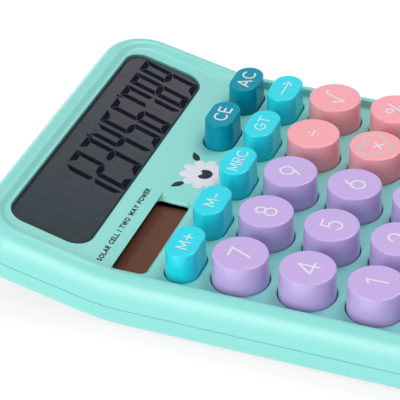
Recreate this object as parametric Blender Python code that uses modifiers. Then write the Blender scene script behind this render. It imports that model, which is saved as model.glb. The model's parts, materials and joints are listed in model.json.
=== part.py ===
"""Desk calculator: a bent two-piece case, keys, a tilted display, a solar cell, boards and a button cell.

Metres, +X right, +Y towards the display, +Z up. The origin is on the table under the middle of the case.
The case is designed as a straight slab, x across, s along it and n above the table, and is then bent upwards
behind the keys by bent(): up to BEND_START s is y and n is z.
"""

import math

import bmesh
import bpy
from mathutils import Matrix, Vector

MM = 0.001
GAP = 0.3 * MM  # between pieces that touch

# Keys
CAP_RADIUS = 8.25 * MM  # top of a round cap
CAP_RISE = 9.2 * MM  # cap top above the deck
CAP_DRAFT = 0.29 * MM  # how much wider a cap is where it meets the deck
CAP_EDGE = 0.5 * MM  # bevel round the top
MEMORY_HALF = (7.85 * MM, 4.75 * MM)  # half width and half depth of an oval cap's top
CLEAR_HALF = (7.5 * MM, 4.6 * MM)  # the same of the two clearing keys
KEY_CLEARANCE = 0.25 * MM
FLANGE = 1.0 * MM  # thickness and overhang of the flange that keeps a cap in its hole
PLUNGER_RADIUS = 3.0 * MM
PLUNGER = 0.9 * MM
TRAVEL = 2.2 * MM
PITCH_X = 22.1 * MM
PITCH_Y = 20.44 * MM
COLUMNS = 5
DIGIT_ROW_Y = -1.4 * MM  # the row of 7, 8 and 9
MEMORY_ROW_Y = DIGIT_ROW_Y + 17.0 * MM
CLEAR_ROW_Y = DIGIT_ROW_Y + 30.7 * MM
CLEAR_SHIFT = 1.0 * MM  # the clearing keys stand this far right of the columns below them
KEY_SIDES = 16

# Case
HALF_WIDTH = 61.9 * MM
FRONT_S = -82.25 * MM
REAR_S = 81.6 * MM
CORNER = 17.0 * MM
CORNER_STEPS = 5
DECK_TOP = 14.7 * MM
DECK_WALL = 1.8 * MM
RIM_TOP = 17.1 * MM
RIM_INSET = 5.4 * MM  # from the widest point, at the seam, in to the top of the rim
RIM_LAND = 0.9 * MM
RIM_STEPS = 5
RIM_FOOT = 7.0 * MM  # inset where the rim's inner wall meets the deck
SEAM = 7.75 * MM
BASE = 0.8 * MM  # underside of the case above the table
BASE_INSET = 2.2 * MM
BASE_STEPS = 4
FLOOR = 2.6 * MM
LIP = 1.0 * MM  # height of the tongue that locates the two shells
BEND_START = 29.1 * MM
BEND_RADIUS = 50.0 * MM  # of the deck's surface
BEND_STEPS = 4
CASE_TILT = math.radians(13.0)
DECK_TILT = math.radians(15.0)
BEND_LENGTH = BEND_RADIUS * DECK_TILT

# Screws, their bosses and the feet
SCREW_PLACES = (
    (-33.15 * MM, -52.5 * MM), (33.15 * MM, -52.5 * MM),
    (-33.15 * MM, -11.6 * MM), (33.15 * MM, -11.6 * MM),
    (-54.5 * MM, 67.5 * MM), (54.5 * MM, 67.5 * MM),
)
SCREW_RADIUS = 1.0 * MM
SCREW_HEAD = (2.1 * MM, 1.3 * MM)  # radius and height
BOSS_RADIUS = 2.5 * MM
BOSS_END = 4.4 * MM  # the boss's free end, above the slab's zero
BOSS_REACH = 0.9 * MM  # extra length of the rear bosses, where the deck stands higher
PILOT = 6.0 * MM
POST_RADIUS = 4.2 * MM
POST_TOP = 5.3 * MM
FOOT_PLACES = ((-47 * MM, -69 * MM), (47 * MM, -69 * MM), (-47 * MM, 20 * MM), (47 * MM, 20 * MM))
FOOT_RADIUS = 4.6 * MM
FOOT_HEIGHT = 1.1 * MM

# Display, in its own frame: z = 0 on the deck at the middle of the window
WINDOW_HALF_X = 49.6 * MM
WINDOW_S = (45.6 * MM, 72.5 * MM)
WINDOW_CORNER = 6.3 * MM
WINDOW_THICK = 0.8 * MM
LEDGE = 0.6 * MM
LCD_HALF = (48.8 * MM, 12.6 * MM)
LCD_CORNER = 5.5 * MM  # the glass fills the opening behind the window, so its corners are round too
LCD_Z = (-3.05 * MM, -1.15 * MM)
FRAME_HALF = (50.4 * MM, 13.6 * MM)
FRAME_Z = (-6.2 * MM, -2.1 * MM)
BOARD_THICK = 1.2 * MM
DISPLAY_BOARD_Z = (-7.6 * MM, -6.5 * MM)
STRIP_HALF = (42.0 * MM, 1.0 * MM)
STRIP_Y = -9.5 * MM
RIBBON_X = -8.0 * MM
RIBBON_HALF = 15.0 * MM

# Solar cell
SOLAR_X = (-52.4 * MM, -12.9 * MM)
SOLAR_Y = (24.8 * MM, 38.0 * MM)
SOLAR_CORNER = 3.0 * MM
SOLAR_BEVEL = 1.3 * MM  # width and depth of the slope round the opening
SOLAR_TOP = 11.6 * MM
SOLAR_THICK = 1.1 * MM

# Main board and key mat
BOARD_HALF_X = 54.0 * MM
BOARD_Y = (-77.0 * MM, 37.0 * MM)
BOARD_Z = (5.6 * MM, 6.8 * MM)
MAT_Z = (7.1 * MM, 7.9 * MM)
MAT_REAR_Y = 22.6 * MM  # behind this the mat runs on only under the two clearing keys
MAT_SIDE_X = 12.0 * MM
DOME_RADII = (4.6 * MM, 3.2 * MM)
DOME_SIDES = 8
BLOB_RADIUS = 7.0 * MM  # of the resin over the controller
BLOB_HEIGHT = 1.5 * MM
WIRE_RADIUS = 0.5 * MM

# Battery bay, in its own frame: z = 0 on the underside of the case
BAY_X = 28.0 * MM
BAY_S = 62.0 * MM
BAY_HALF_X = 7.3 * MM
BAY_HALF_S = 8.3 * MM
BAY_INNER = (8.2 * MM, -10.4 * MM, 8.8 * MM)  # half width, front and rear of the space behind the opening
BAY_CEILING = 5.5 * MM
BAY_WALL = 1.1 * MM
DOOR_THICK = 1.5 * MM
DOOR_CLEARANCE = 0.2 * MM
CELL_RADIUS = 5.8 * MM
CELL_HEIGHT = 3.05 * MM
CELL_S = 1.2 * MM

ROUND_KEYS = (  # name, column, row below the row of 7, 8 and 9, colour
    ("key_7", 0, 0, "lilac"), ("key_8", 1, 0, "lilac"), ("key_9", 2, 0, "lilac"),
    ("key_divide", 3, 0, "pink"), ("key_root", 4, 0, "pink"),
    ("key_4", 0, 1, "lilac"), ("key_5", 1, 1, "lilac"), ("key_6", 2, 1, "lilac"),
    ("key_multiply", 3, 1, "pink"), ("key_percent", 4, 1, "pink"),
    ("key_1", 0, 2, "lilac"), ("key_2", 1, 2, "lilac"), ("key_3", 2, 2, "lilac"),
    ("key_minus", 3, 2, "pink"), ("key_sign", 4, 2, "pink"),
    ("key_0", 0, 3, "lilac"), ("key_00", 1, 3, "lilac"), ("key_point", 2, 3, "lilac"),
    ("key_plus", 3, 3, "pink"), ("key_equals", 4, 3, "pink"),
)
MEMORY_KEYS = ("key_memory_plus", "key_memory_minus", "key_memory_recall", "key_grand_total", "key_backspace")
CLEAR_KEYS = (("key_clear_entry", 3), ("key_all_clear", 4))  # name, column
FINISHES = {  # name: colour as sRGB, roughness, metallic
    "mint": ((140, 219, 210), 0.42, 0.0),
    "lilac": ((190, 168, 214), 0.45, 0.0),
    "pink": ((226, 165, 172), 0.45, 0.0),
    "cyan": ((72, 200, 216), 0.42, 0.0),
    "teal": ((4, 138, 165), 0.42, 0.0),
    "smoke": ((62, 69, 76), 0.12, 0.0),
    "lcd_glass": ((84, 90, 92), 0.2, 0.0),
    "black_plastic": ((28, 30, 32), 0.5, 0.0),
    "solar_brown": ((98, 64, 56), 0.2, 0.0),
    "board_green": ((38, 96, 66), 0.45, 0.0),
    "silicone": ((205, 205, 200), 0.7, 0.0),
    "film": ((196, 160, 92), 0.4, 0.0),
    "rubber": ((40, 42, 44), 0.8, 0.0),
    "epoxy": ((20, 20, 22), 0.35, 0.0),
    "steel": ((190, 192, 196), 0.28, 1.0),
    "brass": ((205, 170, 96), 0.3, 1.0),
    "red_wire": ((176, 34, 32), 0.5, 0.0),
    "black_wire": ((24, 24, 26), 0.5, 0.0),
}


def linear(channel):
    """One sRGB channel, 0 to 255, as the linear value that a shader takes."""
    value = channel / 255
    return value / 12.92 if value <= 0.04045 else ((value + 0.055) / 1.055) ** 2.4


def make_finishes():
    for name, (colour, roughness, metallic) in FINISHES.items():
        finish = bpy.data.materials.new(name)
        finish.use_nodes = True
        shader = finish.node_tree.nodes["Principled BSDF"]
        shader.inputs["Base Color"].default_value = (*[linear(c) for c in colour], 1.0)
        shader.inputs["Roughness"].default_value = roughness
        shader.inputs["Metallic"].default_value = metallic


def clear_scene():
    for obj in list(bpy.data.objects):
        bpy.data.objects.remove(obj, do_unlink=True)


def collection(name):
    made = bpy.data.collections.new(name)
    bpy.context.scene.collection.children.link(made)
    return made


def add_object(name, mesh, finish, home):
    """A node of the calculator, or a helper for a Boolean where finish is None."""
    obj = bpy.data.objects.new(name, mesh)
    home.objects.link(obj)
    if finish is None:
        obj.hide_render = True
        obj.display_type = "WIRE"
    else:
        mesh.materials.append(bpy.data.materials[finish])
    return obj


# The bent slab


def bent(x, s, n, tilt=CASE_TILT):
    """The place of a point x across, s along and n above the straight slab, once its rear is turned up."""
    centre_z = DECK_TOP + BEND_RADIUS
    turn = min(max((s - BEND_START) / BEND_RADIUS, 0.0), tilt)
    beyond = s - BEND_START - BEND_RADIUS * turn
    radius = centre_z - n
    y = BEND_START + radius * math.sin(turn) + beyond * math.cos(turn)
    z = centre_z - radius * math.cos(turn) + beyond * math.sin(turn)
    return Vector((x, y, z))


def standing(x, s, n, tilt=CASE_TILT):
    """The frame at that point, with its z along the slab's normal."""
    turn = min(max((s - BEND_START) / BEND_RADIUS, 0.0), tilt)
    return Matrix.Translation(bent(x, s, n, tilt)) @ Matrix.Rotation(turn, 4, "X")


# Outlines: the right half only, from front to rear, as (x, y)


def arc(centre, radius, start, end, steps):
    angles = [math.radians(start + (end - start) * i / steps) for i in range(steps + 1)]
    return [(centre[0] + radius * math.cos(a), centre[1] + radius * math.sin(a)) for a in angles]


def rounded_half(half_x, low, high, radius, steps=4):
    right = half_x - radius
    front = arc((right, low + radius), radius, -90, 0, steps)
    return front + arc((right, high - radius), radius, 0, 90, steps)


def stadium_half(half_x, half_y, steps=KEY_SIDES // 2):
    """Half of an outline with straight front and rear sides and round ends."""
    return arc((half_x - half_y, 0), half_y, -90, 90, steps)


def case_half(inset):
    """The case's plan, moved in by inset, with extra points where it bends."""
    half_x = HALF_WIDTH - inset
    corner = CORNER - inset
    front = arc((half_x - corner, FRONT_S + inset + corner), corner, -90, 0, CORNER_STEPS)
    stations = [(half_x, BEND_START + BEND_LENGTH * i / BEND_STEPS) for i in range(BEND_STEPS + 1)]
    rear = arc((half_x - corner, REAR_S - inset - corner), corner, 0, 90, CORNER_STEPS)
    return front + stations + rear


def whole(half, place):
    """A closed ring of 3-D points: the half outline, then its mirror image back to the front."""
    right = [place(x, y) for x, y in half]
    left = [place(-x, y) for x, y in reversed(half)]
    return right + left


def flat(z):
    return lambda x, y: Vector((x, y, z))


def slab(n, tilt=CASE_TILT):
    return lambda x, s: bent(x, s, n, tilt)


def loft(rings):
    """A closed mesh through rings of equally many points, its ends filled by strips from side to side."""
    shape = bmesh.new()
    rows = [[shape.verts.new(point) for point in ring] for ring in rings]
    count = len(rows[0])
    for first, second in zip(rows, rows[1:]):
        for i in range(count):
            j = (i + 1) % count
            shape.faces.new((first[i], first[j], second[j], second[i]))
    for row in (rows[0], rows[-1]):
        for i in range(count // 2 - 1):
            shape.faces.new((row[i], row[i + 1], row[count - 2 - i], row[count - 1 - i]))
    bmesh.ops.remove_doubles(shape, verts=shape.verts, dist=1e-7)
    bmesh.ops.dissolve_degenerate(shape, edges=shape.edges, dist=1e-7)
    bmesh.ops.triangulate(shape, faces=shape.faces)
    bmesh.ops.recalc_face_normals(shape, faces=shape.faces)
    mesh = bpy.data.meshes.new("loft")
    shape.to_mesh(mesh)
    shape.free()
    return mesh


def plate(half, low, high):
    return loft([whole(half, flat(low)), whole(half, flat(high))])


def box(size, centre=(0, 0, 0)):
    shape = bmesh.new()
    place = Matrix.Translation(centre) @ Matrix.Diagonal((*size, 1))
    bmesh.ops.create_cube(shape, size=1.0, matrix=place)
    mesh = bpy.data.meshes.new("box")
    shape.to_mesh(mesh)
    shape.free()
    return mesh


def cylinder(radius, low, high, sides=12, top_radius=None):
    shape = bmesh.new()
    bmesh.ops.create_cone(
        shape, cap_ends=True, segments=sides, radius1=radius,
        radius2=radius if top_radius is None else top_radius,
        depth=high - low, matrix=Matrix.Translation((0, 0, (low + high) / 2)),
    )
    mesh = bpy.data.meshes.new("cylinder")
    shape.to_mesh(mesh)
    shape.free()
    return mesh


def turned(name, profile, finish, home, sides):
    """A profile of (radius, z), from the top of the axis round to its bottom, turned about z."""
    mesh = bpy.data.meshes.new(name)
    edges = [(i, i + 1) for i in range(len(profile) - 1)]
    mesh.from_pydata([(r, 0, z) for r, z in profile], edges, [])
    obj = add_object(name, mesh, finish, home)
    screw = obj.modifiers.new("turn", "SCREW")
    screw.steps = sides
    screw.render_steps = sides
    screw.use_merge_vertices = True
    screw.merge_threshold = 1e-5
    return obj


def combine(obj, operation, helpers):
    boolean = obj.modifiers.new(operation.lower(), "BOOLEAN")
    boolean.operation = operation
    boolean.operand_type = "COLLECTION"
    boolean.collection = helpers


# The pieces


def key_x(column):
    return (column - (COLUMNS - 1) / 2) * PITCH_X


def key_places():
    """Every key's name, x, y, colour and the half sizes of its top, both the same on a round one."""
    for name, column, row, colour in ROUND_KEYS:
        yield name, key_x(column), DIGIT_ROW_Y - row * PITCH_Y, colour, (CAP_RADIUS, CAP_RADIUS)
    for column, name in enumerate(MEMORY_KEYS):
        yield name, key_x(column), MEMORY_ROW_Y, "cyan", MEMORY_HALF
    for name, column in CLEAR_KEYS:
        yield name, key_x(column) + CLEAR_SHIFT, CLEAR_ROW_Y, "teal", CLEAR_HALF


def key_sections(top, base):
    """(size, z above the deck) of a cap, from its top down to its plunger's end, for a top and a base size."""
    flange_top = -DECK_WALL - GAP
    return (
        (top - CAP_EDGE, CAP_RISE),
        (top, CAP_RISE - CAP_EDGE),
        (base, flange_top),
        (base + FLANGE, flange_top),
        (base + FLANGE, flange_top - FLANGE),
        (PLUNGER_RADIUS, flange_top - FLANGE),
        (PLUNGER_RADIUS, flange_top - FLANGE - PLUNGER),
    )


def oval_mesh(half_x, half_y):
    """The oval cap and its flange, whose straight sides keep one length, on the same round plunger."""
    straight = half_x - half_y
    rings = []
    for size, z in key_sections(half_y, half_y + CAP_DRAFT):
        spare = 0.0 if size == PLUNGER_RADIUS else straight
        rings.append(whole(stadium_half(size + spare, size), flat(z)))
    return loft(rings)


def make_keys(home):
    profile = key_sections(CAP_RADIUS, CAP_RADIUS + CAP_DRAFT)
    profile = [(0.0, profile[0][1]), *profile, (0.0, profile[-1][1])]
    for name, x, y, colour, (half_x, half_y) in key_places():
        if half_x > half_y:
            key = add_object(name, oval_mesh(half_x, half_y), colour, home)
        else:
            key = turned(name, profile, colour, home, KEY_SIDES)
        key.location = (x, y, DECK_TOP)


def key_cutters(helpers):
    hole = CAP_DRAFT + KEY_CLEARANCE
    for name, x, y, _colour, (half_x, half_y) in key_places():
        if half_x > half_y:
            mesh = plate(stadium_half(half_x + hole, half_y + hole), -DECK_WALL - 2 * MM, 2 * MM)
        else:
            mesh = cylinder(half_x + hole, -DECK_WALL - 2 * MM, 2 * MM, KEY_SIDES)
        cutter = add_object(name + "_hole", mesh, None, helpers)
        cutter.location = (x, y, DECK_TOP)


def rim_sections():
    """(inset, n) down the outside of the upper case, a quarter ellipse from the rim to the seam."""
    bottom = SEAM + GAP / 2
    for i in range(RIM_STEPS + 1):
        angle = math.pi / 2 * (1 - i / RIM_STEPS)
        yield RIM_INSET * (1 - math.cos(angle)), bottom + (RIM_TOP - bottom) * math.sin(angle)


def make_upper_case(home):
    rings = [
        whole(case_half(RIM_FOOT), slab(DECK_TOP, DECK_TILT)),
        whole(case_half(RIM_INSET + RIM_LAND), slab(RIM_TOP - GAP)),
    ]
    rings += [whole(case_half(inset), slab(n)) for inset, n in rim_sections()]
    seam = SEAM + GAP / 2
    rebate = SEAM + LIP + GAP
    rings += [
        whole(case_half(inset), slab(n))
        for inset, n in ((0.6 * MM, seam), (0.6 * MM, rebate), (2.0 * MM, rebate), (2.6 * MM, 12.0 * MM))
    ]
    rings.append(whole(case_half(3.4 * MM), slab(DECK_TOP - DECK_WALL, DECK_TILT)))
    case = add_object("upper_case", loft(rings), "mint", home)

    bosses = collection("upper_case_bosses")
    cutters = collection("upper_case_cutters")
    key_cutters(cutters)
    for i, (x, s) in enumerate(SCREW_PLACES):
        top = DECK_TOP - DECK_WALL / 2
        length = top - BOSS_END
        place = standing(x, s, BOSS_END)
        if s > BEND_START:
            length += BOSS_REACH
        boss = add_object(f"boss_{i}", cylinder(BOSS_RADIUS, 0, length), None, bosses)
        boss.matrix_world = place
        pilot = cylinder(SCREW_RADIUS + GAP / 2, -1 * MM, PILOT)
        add_object(f"pilot_{i}", pilot, None, cutters).matrix_world = place
    window = display_place()
    half_y = (WINDOW_S[1] - WINDOW_S[0]) / 2
    pocket = rounded_half(WINDOW_HALF_X, -half_y, half_y, WINDOW_CORNER)
    pocket = plate(pocket, -WINDOW_THICK - 0.25 * MM, 3 * MM)
    add_object("window_pocket", pocket, None, cutters).matrix_world = window
    opening = rounded_half(WINDOW_HALF_X - LEDGE, LEDGE - half_y, half_y - LEDGE, WINDOW_CORNER - LEDGE)
    opening = plate(opening, -5 * MM, 2 * MM)
    add_object("window_opening", opening, None, cutters).matrix_world = window
    add_object("solar_opening", solar_cutter(), None, cutters)
    combine(case, "UNION", bosses)
    combine(case, "DIFFERENCE", cutters)


def solar_cutter():
    """The cell's opening, whose edge slopes in by SOLAR_BEVEL all round."""
    half_x = (SOLAR_X[1] - SOLAR_X[0]) / 2
    rings = []
    for inset, depth in ((SOLAR_BEVEL, 6 * MM), (SOLAR_BEVEL, SOLAR_BEVEL), (0.0, 0.0), (0.0, -5 * MM)):
        half = rounded_half(half_x - inset, SOLAR_Y[0] + inset, SOLAR_Y[1] - inset, SOLAR_CORNER - inset)
        shift = Vector((sum(SOLAR_X) / 2, 0, 0))
        rings.append([point + shift for point in whole(half, flat(DECK_TOP - depth))])
    return loft(rings)


def base_sections():
    """(inset, n) up the outside of the lower case, a quarter ellipse from the underside to the seam."""
    top = SEAM - GAP / 2
    for i in range(BASE_STEPS + 1):
        angle = math.pi / 2 * (1 - i / BASE_STEPS)
        yield BASE_INSET * (1 - math.cos(angle)), top - (top - BASE) * math.sin(angle)


def make_lower_case(home):
    seam = SEAM - GAP / 2
    inner = (
        (0.9 * MM, seam), (0.9 * MM, SEAM + LIP), (1.7 * MM, SEAM + LIP),
        (2.6 * MM, 5.2 * MM), (5.6 * MM, FLOOR),
    )
    sections = [*base_sections(), *inner]
    case = add_object("lower_case", loft([whole(case_half(i), slab(n)) for i, n in sections]), "mint", home)

    posts = collection("lower_case_posts")
    cutters = collection("lower_case_cutters")
    for i, (x, s) in enumerate(SCREW_PLACES):
        place = standing(x, s, 0.0)
        post = cylinder(POST_RADIUS, (BASE + FLOOR) / 2, POST_TOP)
        add_object(f"post_{i}", post, None, posts).matrix_world = place
        head = cylinder(SCREW_HEAD[0] + GAP, -2 * MM, FLOOR)
        add_object(f"head_{i}", head, None, cutters).matrix_world = place
        shank = cylinder(SCREW_RADIUS + GAP, FLOOR - 0.5 * MM, POST_TOP)
        add_object(f"shank_{i}", shank, None, cutters).matrix_world = place
        socket = cylinder(BOSS_RADIUS + GAP, BOSS_END - GAP, POST_TOP + MM)
        add_object(f"socket_{i}", socket, None, cutters).matrix_world = place
    for i, (x, y) in enumerate(FOOT_PLACES):
        recess = cylinder(FOOT_RADIUS + GAP, -1 * MM, FOOT_HEIGHT + GAP, KEY_SIDES)
        add_object(f"foot_recess_{i}", recess, None, cutters).location = (x, y, 0)
    half_x, front, rear = BAY_INNER
    middle = (front + rear) / 2
    floor = FLOOR - BASE
    height = BAY_CEILING + BAY_WALL
    walls = box((2 * (half_x + BAY_WALL), rear - front + 2 * BAY_WALL, height - floor / 2),
                (0, middle, (height + floor / 2) / 2))
    add_object("bay_walls", walls, None, posts).matrix_world = bay_place()
    space = box((2 * half_x, rear - front, BAY_CEILING - floor), (0, middle, (BAY_CEILING + floor) / 2))
    add_object("bay_space", space, None, cutters).matrix_world = bay_place()
    mouth = box((2 * BAY_HALF_X, 2 * BAY_HALF_S, 4 * MM), (0, 0, 0.5 * MM))
    add_object("bay_mouth", mouth, None, cutters).matrix_world = bay_place()
    combine(case, "UNION", posts)
    combine(case, "DIFFERENCE", cutters)


def make_fasteners(home):
    head_radius, head_height = SCREW_HEAD
    head_bottom = FLOOR - GAP - head_height
    head_top = head_bottom + head_height
    tip = BOSS_END + PILOT - 1.0 * MM
    profile = (
        (0.0, tip), (0.5 * MM, tip - 0.3 * MM), (SCREW_RADIUS, tip - 1.6 * MM), (SCREW_RADIUS, head_top),
        (head_radius, head_top), (head_radius, head_bottom + 0.4 * MM),
        (head_radius - 0.4 * MM, head_bottom), (0.0, head_bottom),
    )
    for i, (x, s) in enumerate(SCREW_PLACES, start=1):
        turned(f"case_screw_{i}", profile, "steel", home, 12).matrix_world = standing(x, s, 0.0)
    foot = (
        (0.0, FOOT_HEIGHT), (FOOT_RADIUS, FOOT_HEIGHT), (FOOT_RADIUS, 0.3 * MM),
        (FOOT_RADIUS - 0.3 * MM, 0.0), (0.0, 0.0),
    )
    names = ("foot_front_left", "foot_front_right", "foot_rear_left", "foot_rear_right")
    for name, (x, y) in zip(names, FOOT_PLACES):
        turned(name, foot, "rubber", home, KEY_SIDES).location = (x, y, 0)


def display_place():
    return standing(0.0, sum(WINDOW_S) / 2, DECK_TOP, DECK_TILT)


def display_piece(name, mesh, finish, home):
    obj = add_object(name, mesh, finish, home)
    obj.matrix_world = display_place()
    return obj


def make_display(home):
    half_y = (WINDOW_S[1] - WINDOW_S[0]) / 2
    play = 0.12 * MM
    window = rounded_half(WINDOW_HALF_X - play, play - half_y, half_y - play, WINDOW_CORNER - play)
    display_piece("display_window", plate(window, -WINDOW_THICK - 0.1 * MM, -0.1 * MM), "smoke", home)
    lcd = rounded_half(LCD_HALF[0], -LCD_HALF[1], LCD_HALF[1], LCD_CORNER)
    display_piece("lcd_glass", plate(lcd, *LCD_Z), "lcd_glass", home)

    holder = rounded_half(FRAME_HALF[0], -FRAME_HALF[1], FRAME_HALF[1], 1.5 * MM, 2)
    frame = display_piece("lcd_frame", plate(holder, *FRAME_Z), "black_plastic", home)
    cutters = collection("lcd_frame_cutters")
    seat = box((2 * (LCD_HALF[0] + GAP), 2 * (LCD_HALF[1] + GAP), 4 * MM), (0, 0, LCD_Z[0] - GAP + 2 * MM))
    display_piece("lcd_seat", seat, None, cutters)
    rest = 2.0 * MM  # width of the ledge that the glass lies on, at three sides
    inside = box((2 * (LCD_HALF[0] - rest), 2 * LCD_HALF[1] - rest, 9 * MM), (0, -rest / 2, LCD_Z[0]))
    display_piece("lcd_inside", inside, None, cutters)
    combine(frame, "DIFFERENCE", cutters)

    strip = box((2 * STRIP_HALF[0], 2 * STRIP_HALF[1], LCD_Z[0] - DISPLAY_BOARD_Z[1] - 2 * GAP),
                (0, STRIP_Y, (LCD_Z[0] + DISPLAY_BOARD_Z[1]) / 2))
    display_piece("lcd_contact_strip", strip, "rubber", home)
    board = rounded_half(FRAME_HALF[0] - 1 * MM, -FRAME_HALF[1], FRAME_HALF[1] - 1 * MM, 1.5 * MM, 2)
    display_piece("display_board", plate(board, *DISPLAY_BOARD_Z), "board_green", home)
    make_ribbon(home)


def make_ribbon(home):
    """The film that joins the boards: a smooth strip from the display board's edge down to the main board's."""
    start = display_place() @ Vector((0, -FRAME_HALF[1] - GAP, DISPLAY_BOARD_Z[0] + 0.5 * MM))
    end = Vector((0, BOARD_Y[1] - 2.5 * MM, BOARD_Z[1] + 2 * GAP))
    steps = 6
    shape = bmesh.new()
    rows = []
    for i in range(steps + 1):
        t = i / steps
        ease = t * t * (3 - 2 * t)
        y = start.y + (end.y - start.y) * t
        z = start.z + (end.z - start.z) * ease
        rows.append([shape.verts.new((RIBBON_X + side * RIBBON_HALF, y, z)) for side in (-1, 1)])
    for first, second in zip(rows, rows[1:]):
        shape.faces.new((first[0], first[1], second[1], second[0]))
    mesh = bpy.data.meshes.new("display_ribbon")
    shape.to_mesh(mesh)
    shape.free()
    ribbon = add_object("display_ribbon", mesh, "film", home)
    wall = ribbon.modifiers.new("thickness", "SOLIDIFY")
    wall.thickness = 0.3 * MM
    wall.offset = 0.0


def make_electronics(home):
    board_half = rounded_half(BOARD_HALF_X, *BOARD_Y, 8 * MM, 3)
    board = add_object("main_board", plate(board_half, *BOARD_Z), "board_green", home)
    holes = collection("board_holes")
    for i, (x, s) in enumerate(SCREW_PLACES[:4]):
        add_object(f"board_hole_{i}", cylinder(BOSS_RADIUS + GAP, 0, 9 * MM), None, holes).location = (x, s, 0)
    combine(board, "DIFFERENCE", holes)

    mat_half = rounded_half(BOARD_HALF_X - MM, BOARD_Y[0] + MM, MAT_REAR_Y, 7 * MM, 3)
    mat = add_object("keypad_mat", plate(mat_half, *MAT_Z), "silicone", home)
    domes = collection("mat_domes")
    width = BOARD_HALF_X - MM - MAT_SIDE_X
    depth = BOARD_Y[1] - MM - MAT_REAR_Y
    overlap = 10 * MM
    rear = box((width, depth + overlap, MAT_Z[1] - MAT_Z[0]),
               (MAT_SIDE_X + width / 2, MAT_REAR_Y + (depth - overlap) / 2, sum(MAT_Z) / 2))
    add_object("mat_rear", rear, None, domes)
    dome_top = DECK_TOP - DECK_WALL - 2 * GAP - FLANGE - PLUNGER
    for name, x, y, _colour, _half in key_places():
        dome = cylinder(DOME_RADII[0], (sum(MAT_Z)) / 2, dome_top, DOME_SIDES, DOME_RADII[1])
        add_object(name + "_dome", dome, None, domes).location = (x, y, 0)
    combine(mat, "UNION", domes)
    combine(mat, "DIFFERENCE", holes)

    angles = [math.pi / 2 * i / 4 for i in range(5)]
    dome = [(BLOB_RADIUS * math.sin(angle), -BLOB_HEIGHT * math.cos(angle)) for angle in angles]
    blob = [(0.0, 0.0), *reversed(dome)]
    turned("controller_chip", blob, "epoxy", home, KEY_SIDES).location = (0, -30 * MM, BOARD_Z[0] - GAP)
    capacitor = add_object("buffer_capacitor", cylinder(2 * MM, -3 * MM, 3 * MM), "epoxy", home)
    capacitor.matrix_world = Matrix.Translation((0, 27 * MM, BOARD_Z[1] + GAP + 2 * MM)) @ Matrix.Rotation(
        math.pi / 2, 4, "Y")

    half_x = (SOLAR_X[1] - SOLAR_X[0]) / 2
    middle = (sum(SOLAR_X) / 2, sum(SOLAR_Y) / 2, SOLAR_TOP - SOLAR_THICK / 2)
    cell = box((2 * half_x, SOLAR_Y[1] - SOLAR_Y[0], SOLAR_THICK), middle)
    add_object("solar_cell", cell, "solar_brown", home)


def wire(name, points, finish, home):
    """A lead through points on a smooth curve, read off as a fine polyline."""
    steps = 3
    fine = []
    knots = [points[0], *points, points[-1]]
    for a, b, c, d in zip(knots, knots[1:], knots[2:], knots[3:]):
        for i in range(steps):
            t = i / steps
            weights = (
                -t + 2 * t ** 2 - t ** 3, 2 - 5 * t ** 2 + 3 * t ** 3,
                t + 4 * t ** 2 - 3 * t ** 3, t ** 3 - t ** 2,
            )
            fine.append(sum((w / 2 * Vector(p) for w, p in zip(weights, (a, b, c, d))), Vector()))
    fine.append(Vector(points[-1]))
    curve = bpy.data.curves.new(name, "CURVE")
    curve.dimensions = "3D"
    curve.bevel_depth = WIRE_RADIUS
    curve.bevel_resolution = 1
    curve.use_fill_caps = True
    spline = curve.splines.new("POLY")
    spline.points.add(len(fine) - 1)
    for point, place in zip(spline.points, fine):
        point.co = (*place, 1.0)
    add_object(name, curve, finish, home)


def make_leads(home):
    """Two leads from the solar cell and two from the battery contacts, all to the rear of the main board."""
    cell_bottom = SOLAR_TOP - SOLAR_THICK - GAP - WIRE_RADIUS
    board_top = BOARD_Z[1] + GAP + WIRE_RADIUS
    for name, x in (("solar_lead_red", -44 * MM), ("solar_lead_black", -38 * MM)):
        points = (
            (x, 33 * MM, cell_bottom), (x + 3 * MM, 33 * MM, cell_bottom - 0.6 * MM),
            (x + 6 * MM, 30 * MM, board_top + 1.2 * MM), (x + 7 * MM, 27 * MM, board_top),
            (x + 7 * MM, 25 * MM, board_top),
        )
        wire(name, points, name.split("_")[-1] + "_wire", home)
    start_x = BAY_X - BAY_INNER[0] - BAY_WALL - 1.2 * MM
    for name, x, late in (("battery_lead_red", 8.8 * MM, 4 * MM), ("battery_lead_black", 10.6 * MM, 0.0)):
        points = [
            bent(start_x, 60 * MM + late, 5.4 * MM),
            bent(start_x - 1.8 * MM - late / 4, 57 * MM + late / 2, 5.4 * MM),
            bent(x + 1.7 * MM, 50.5 * MM, 5.6 * MM),
            bent(x, 43 * MM, 6.2 * MM),
            bent(x, 38 * MM, board_top - 0.3 * MM),
            bent(x, 34 * MM, board_top - 0.1 * MM),
        ]
        wire(name, points, name.split("_")[-1] + "_wire", home)


def bay_place():
    return standing(BAY_X, BAY_S, BASE)


def bay_piece(name, mesh, finish, home):
    obj = add_object(name, mesh, finish, home)
    obj.matrix_world = bay_place()
    return obj


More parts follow.
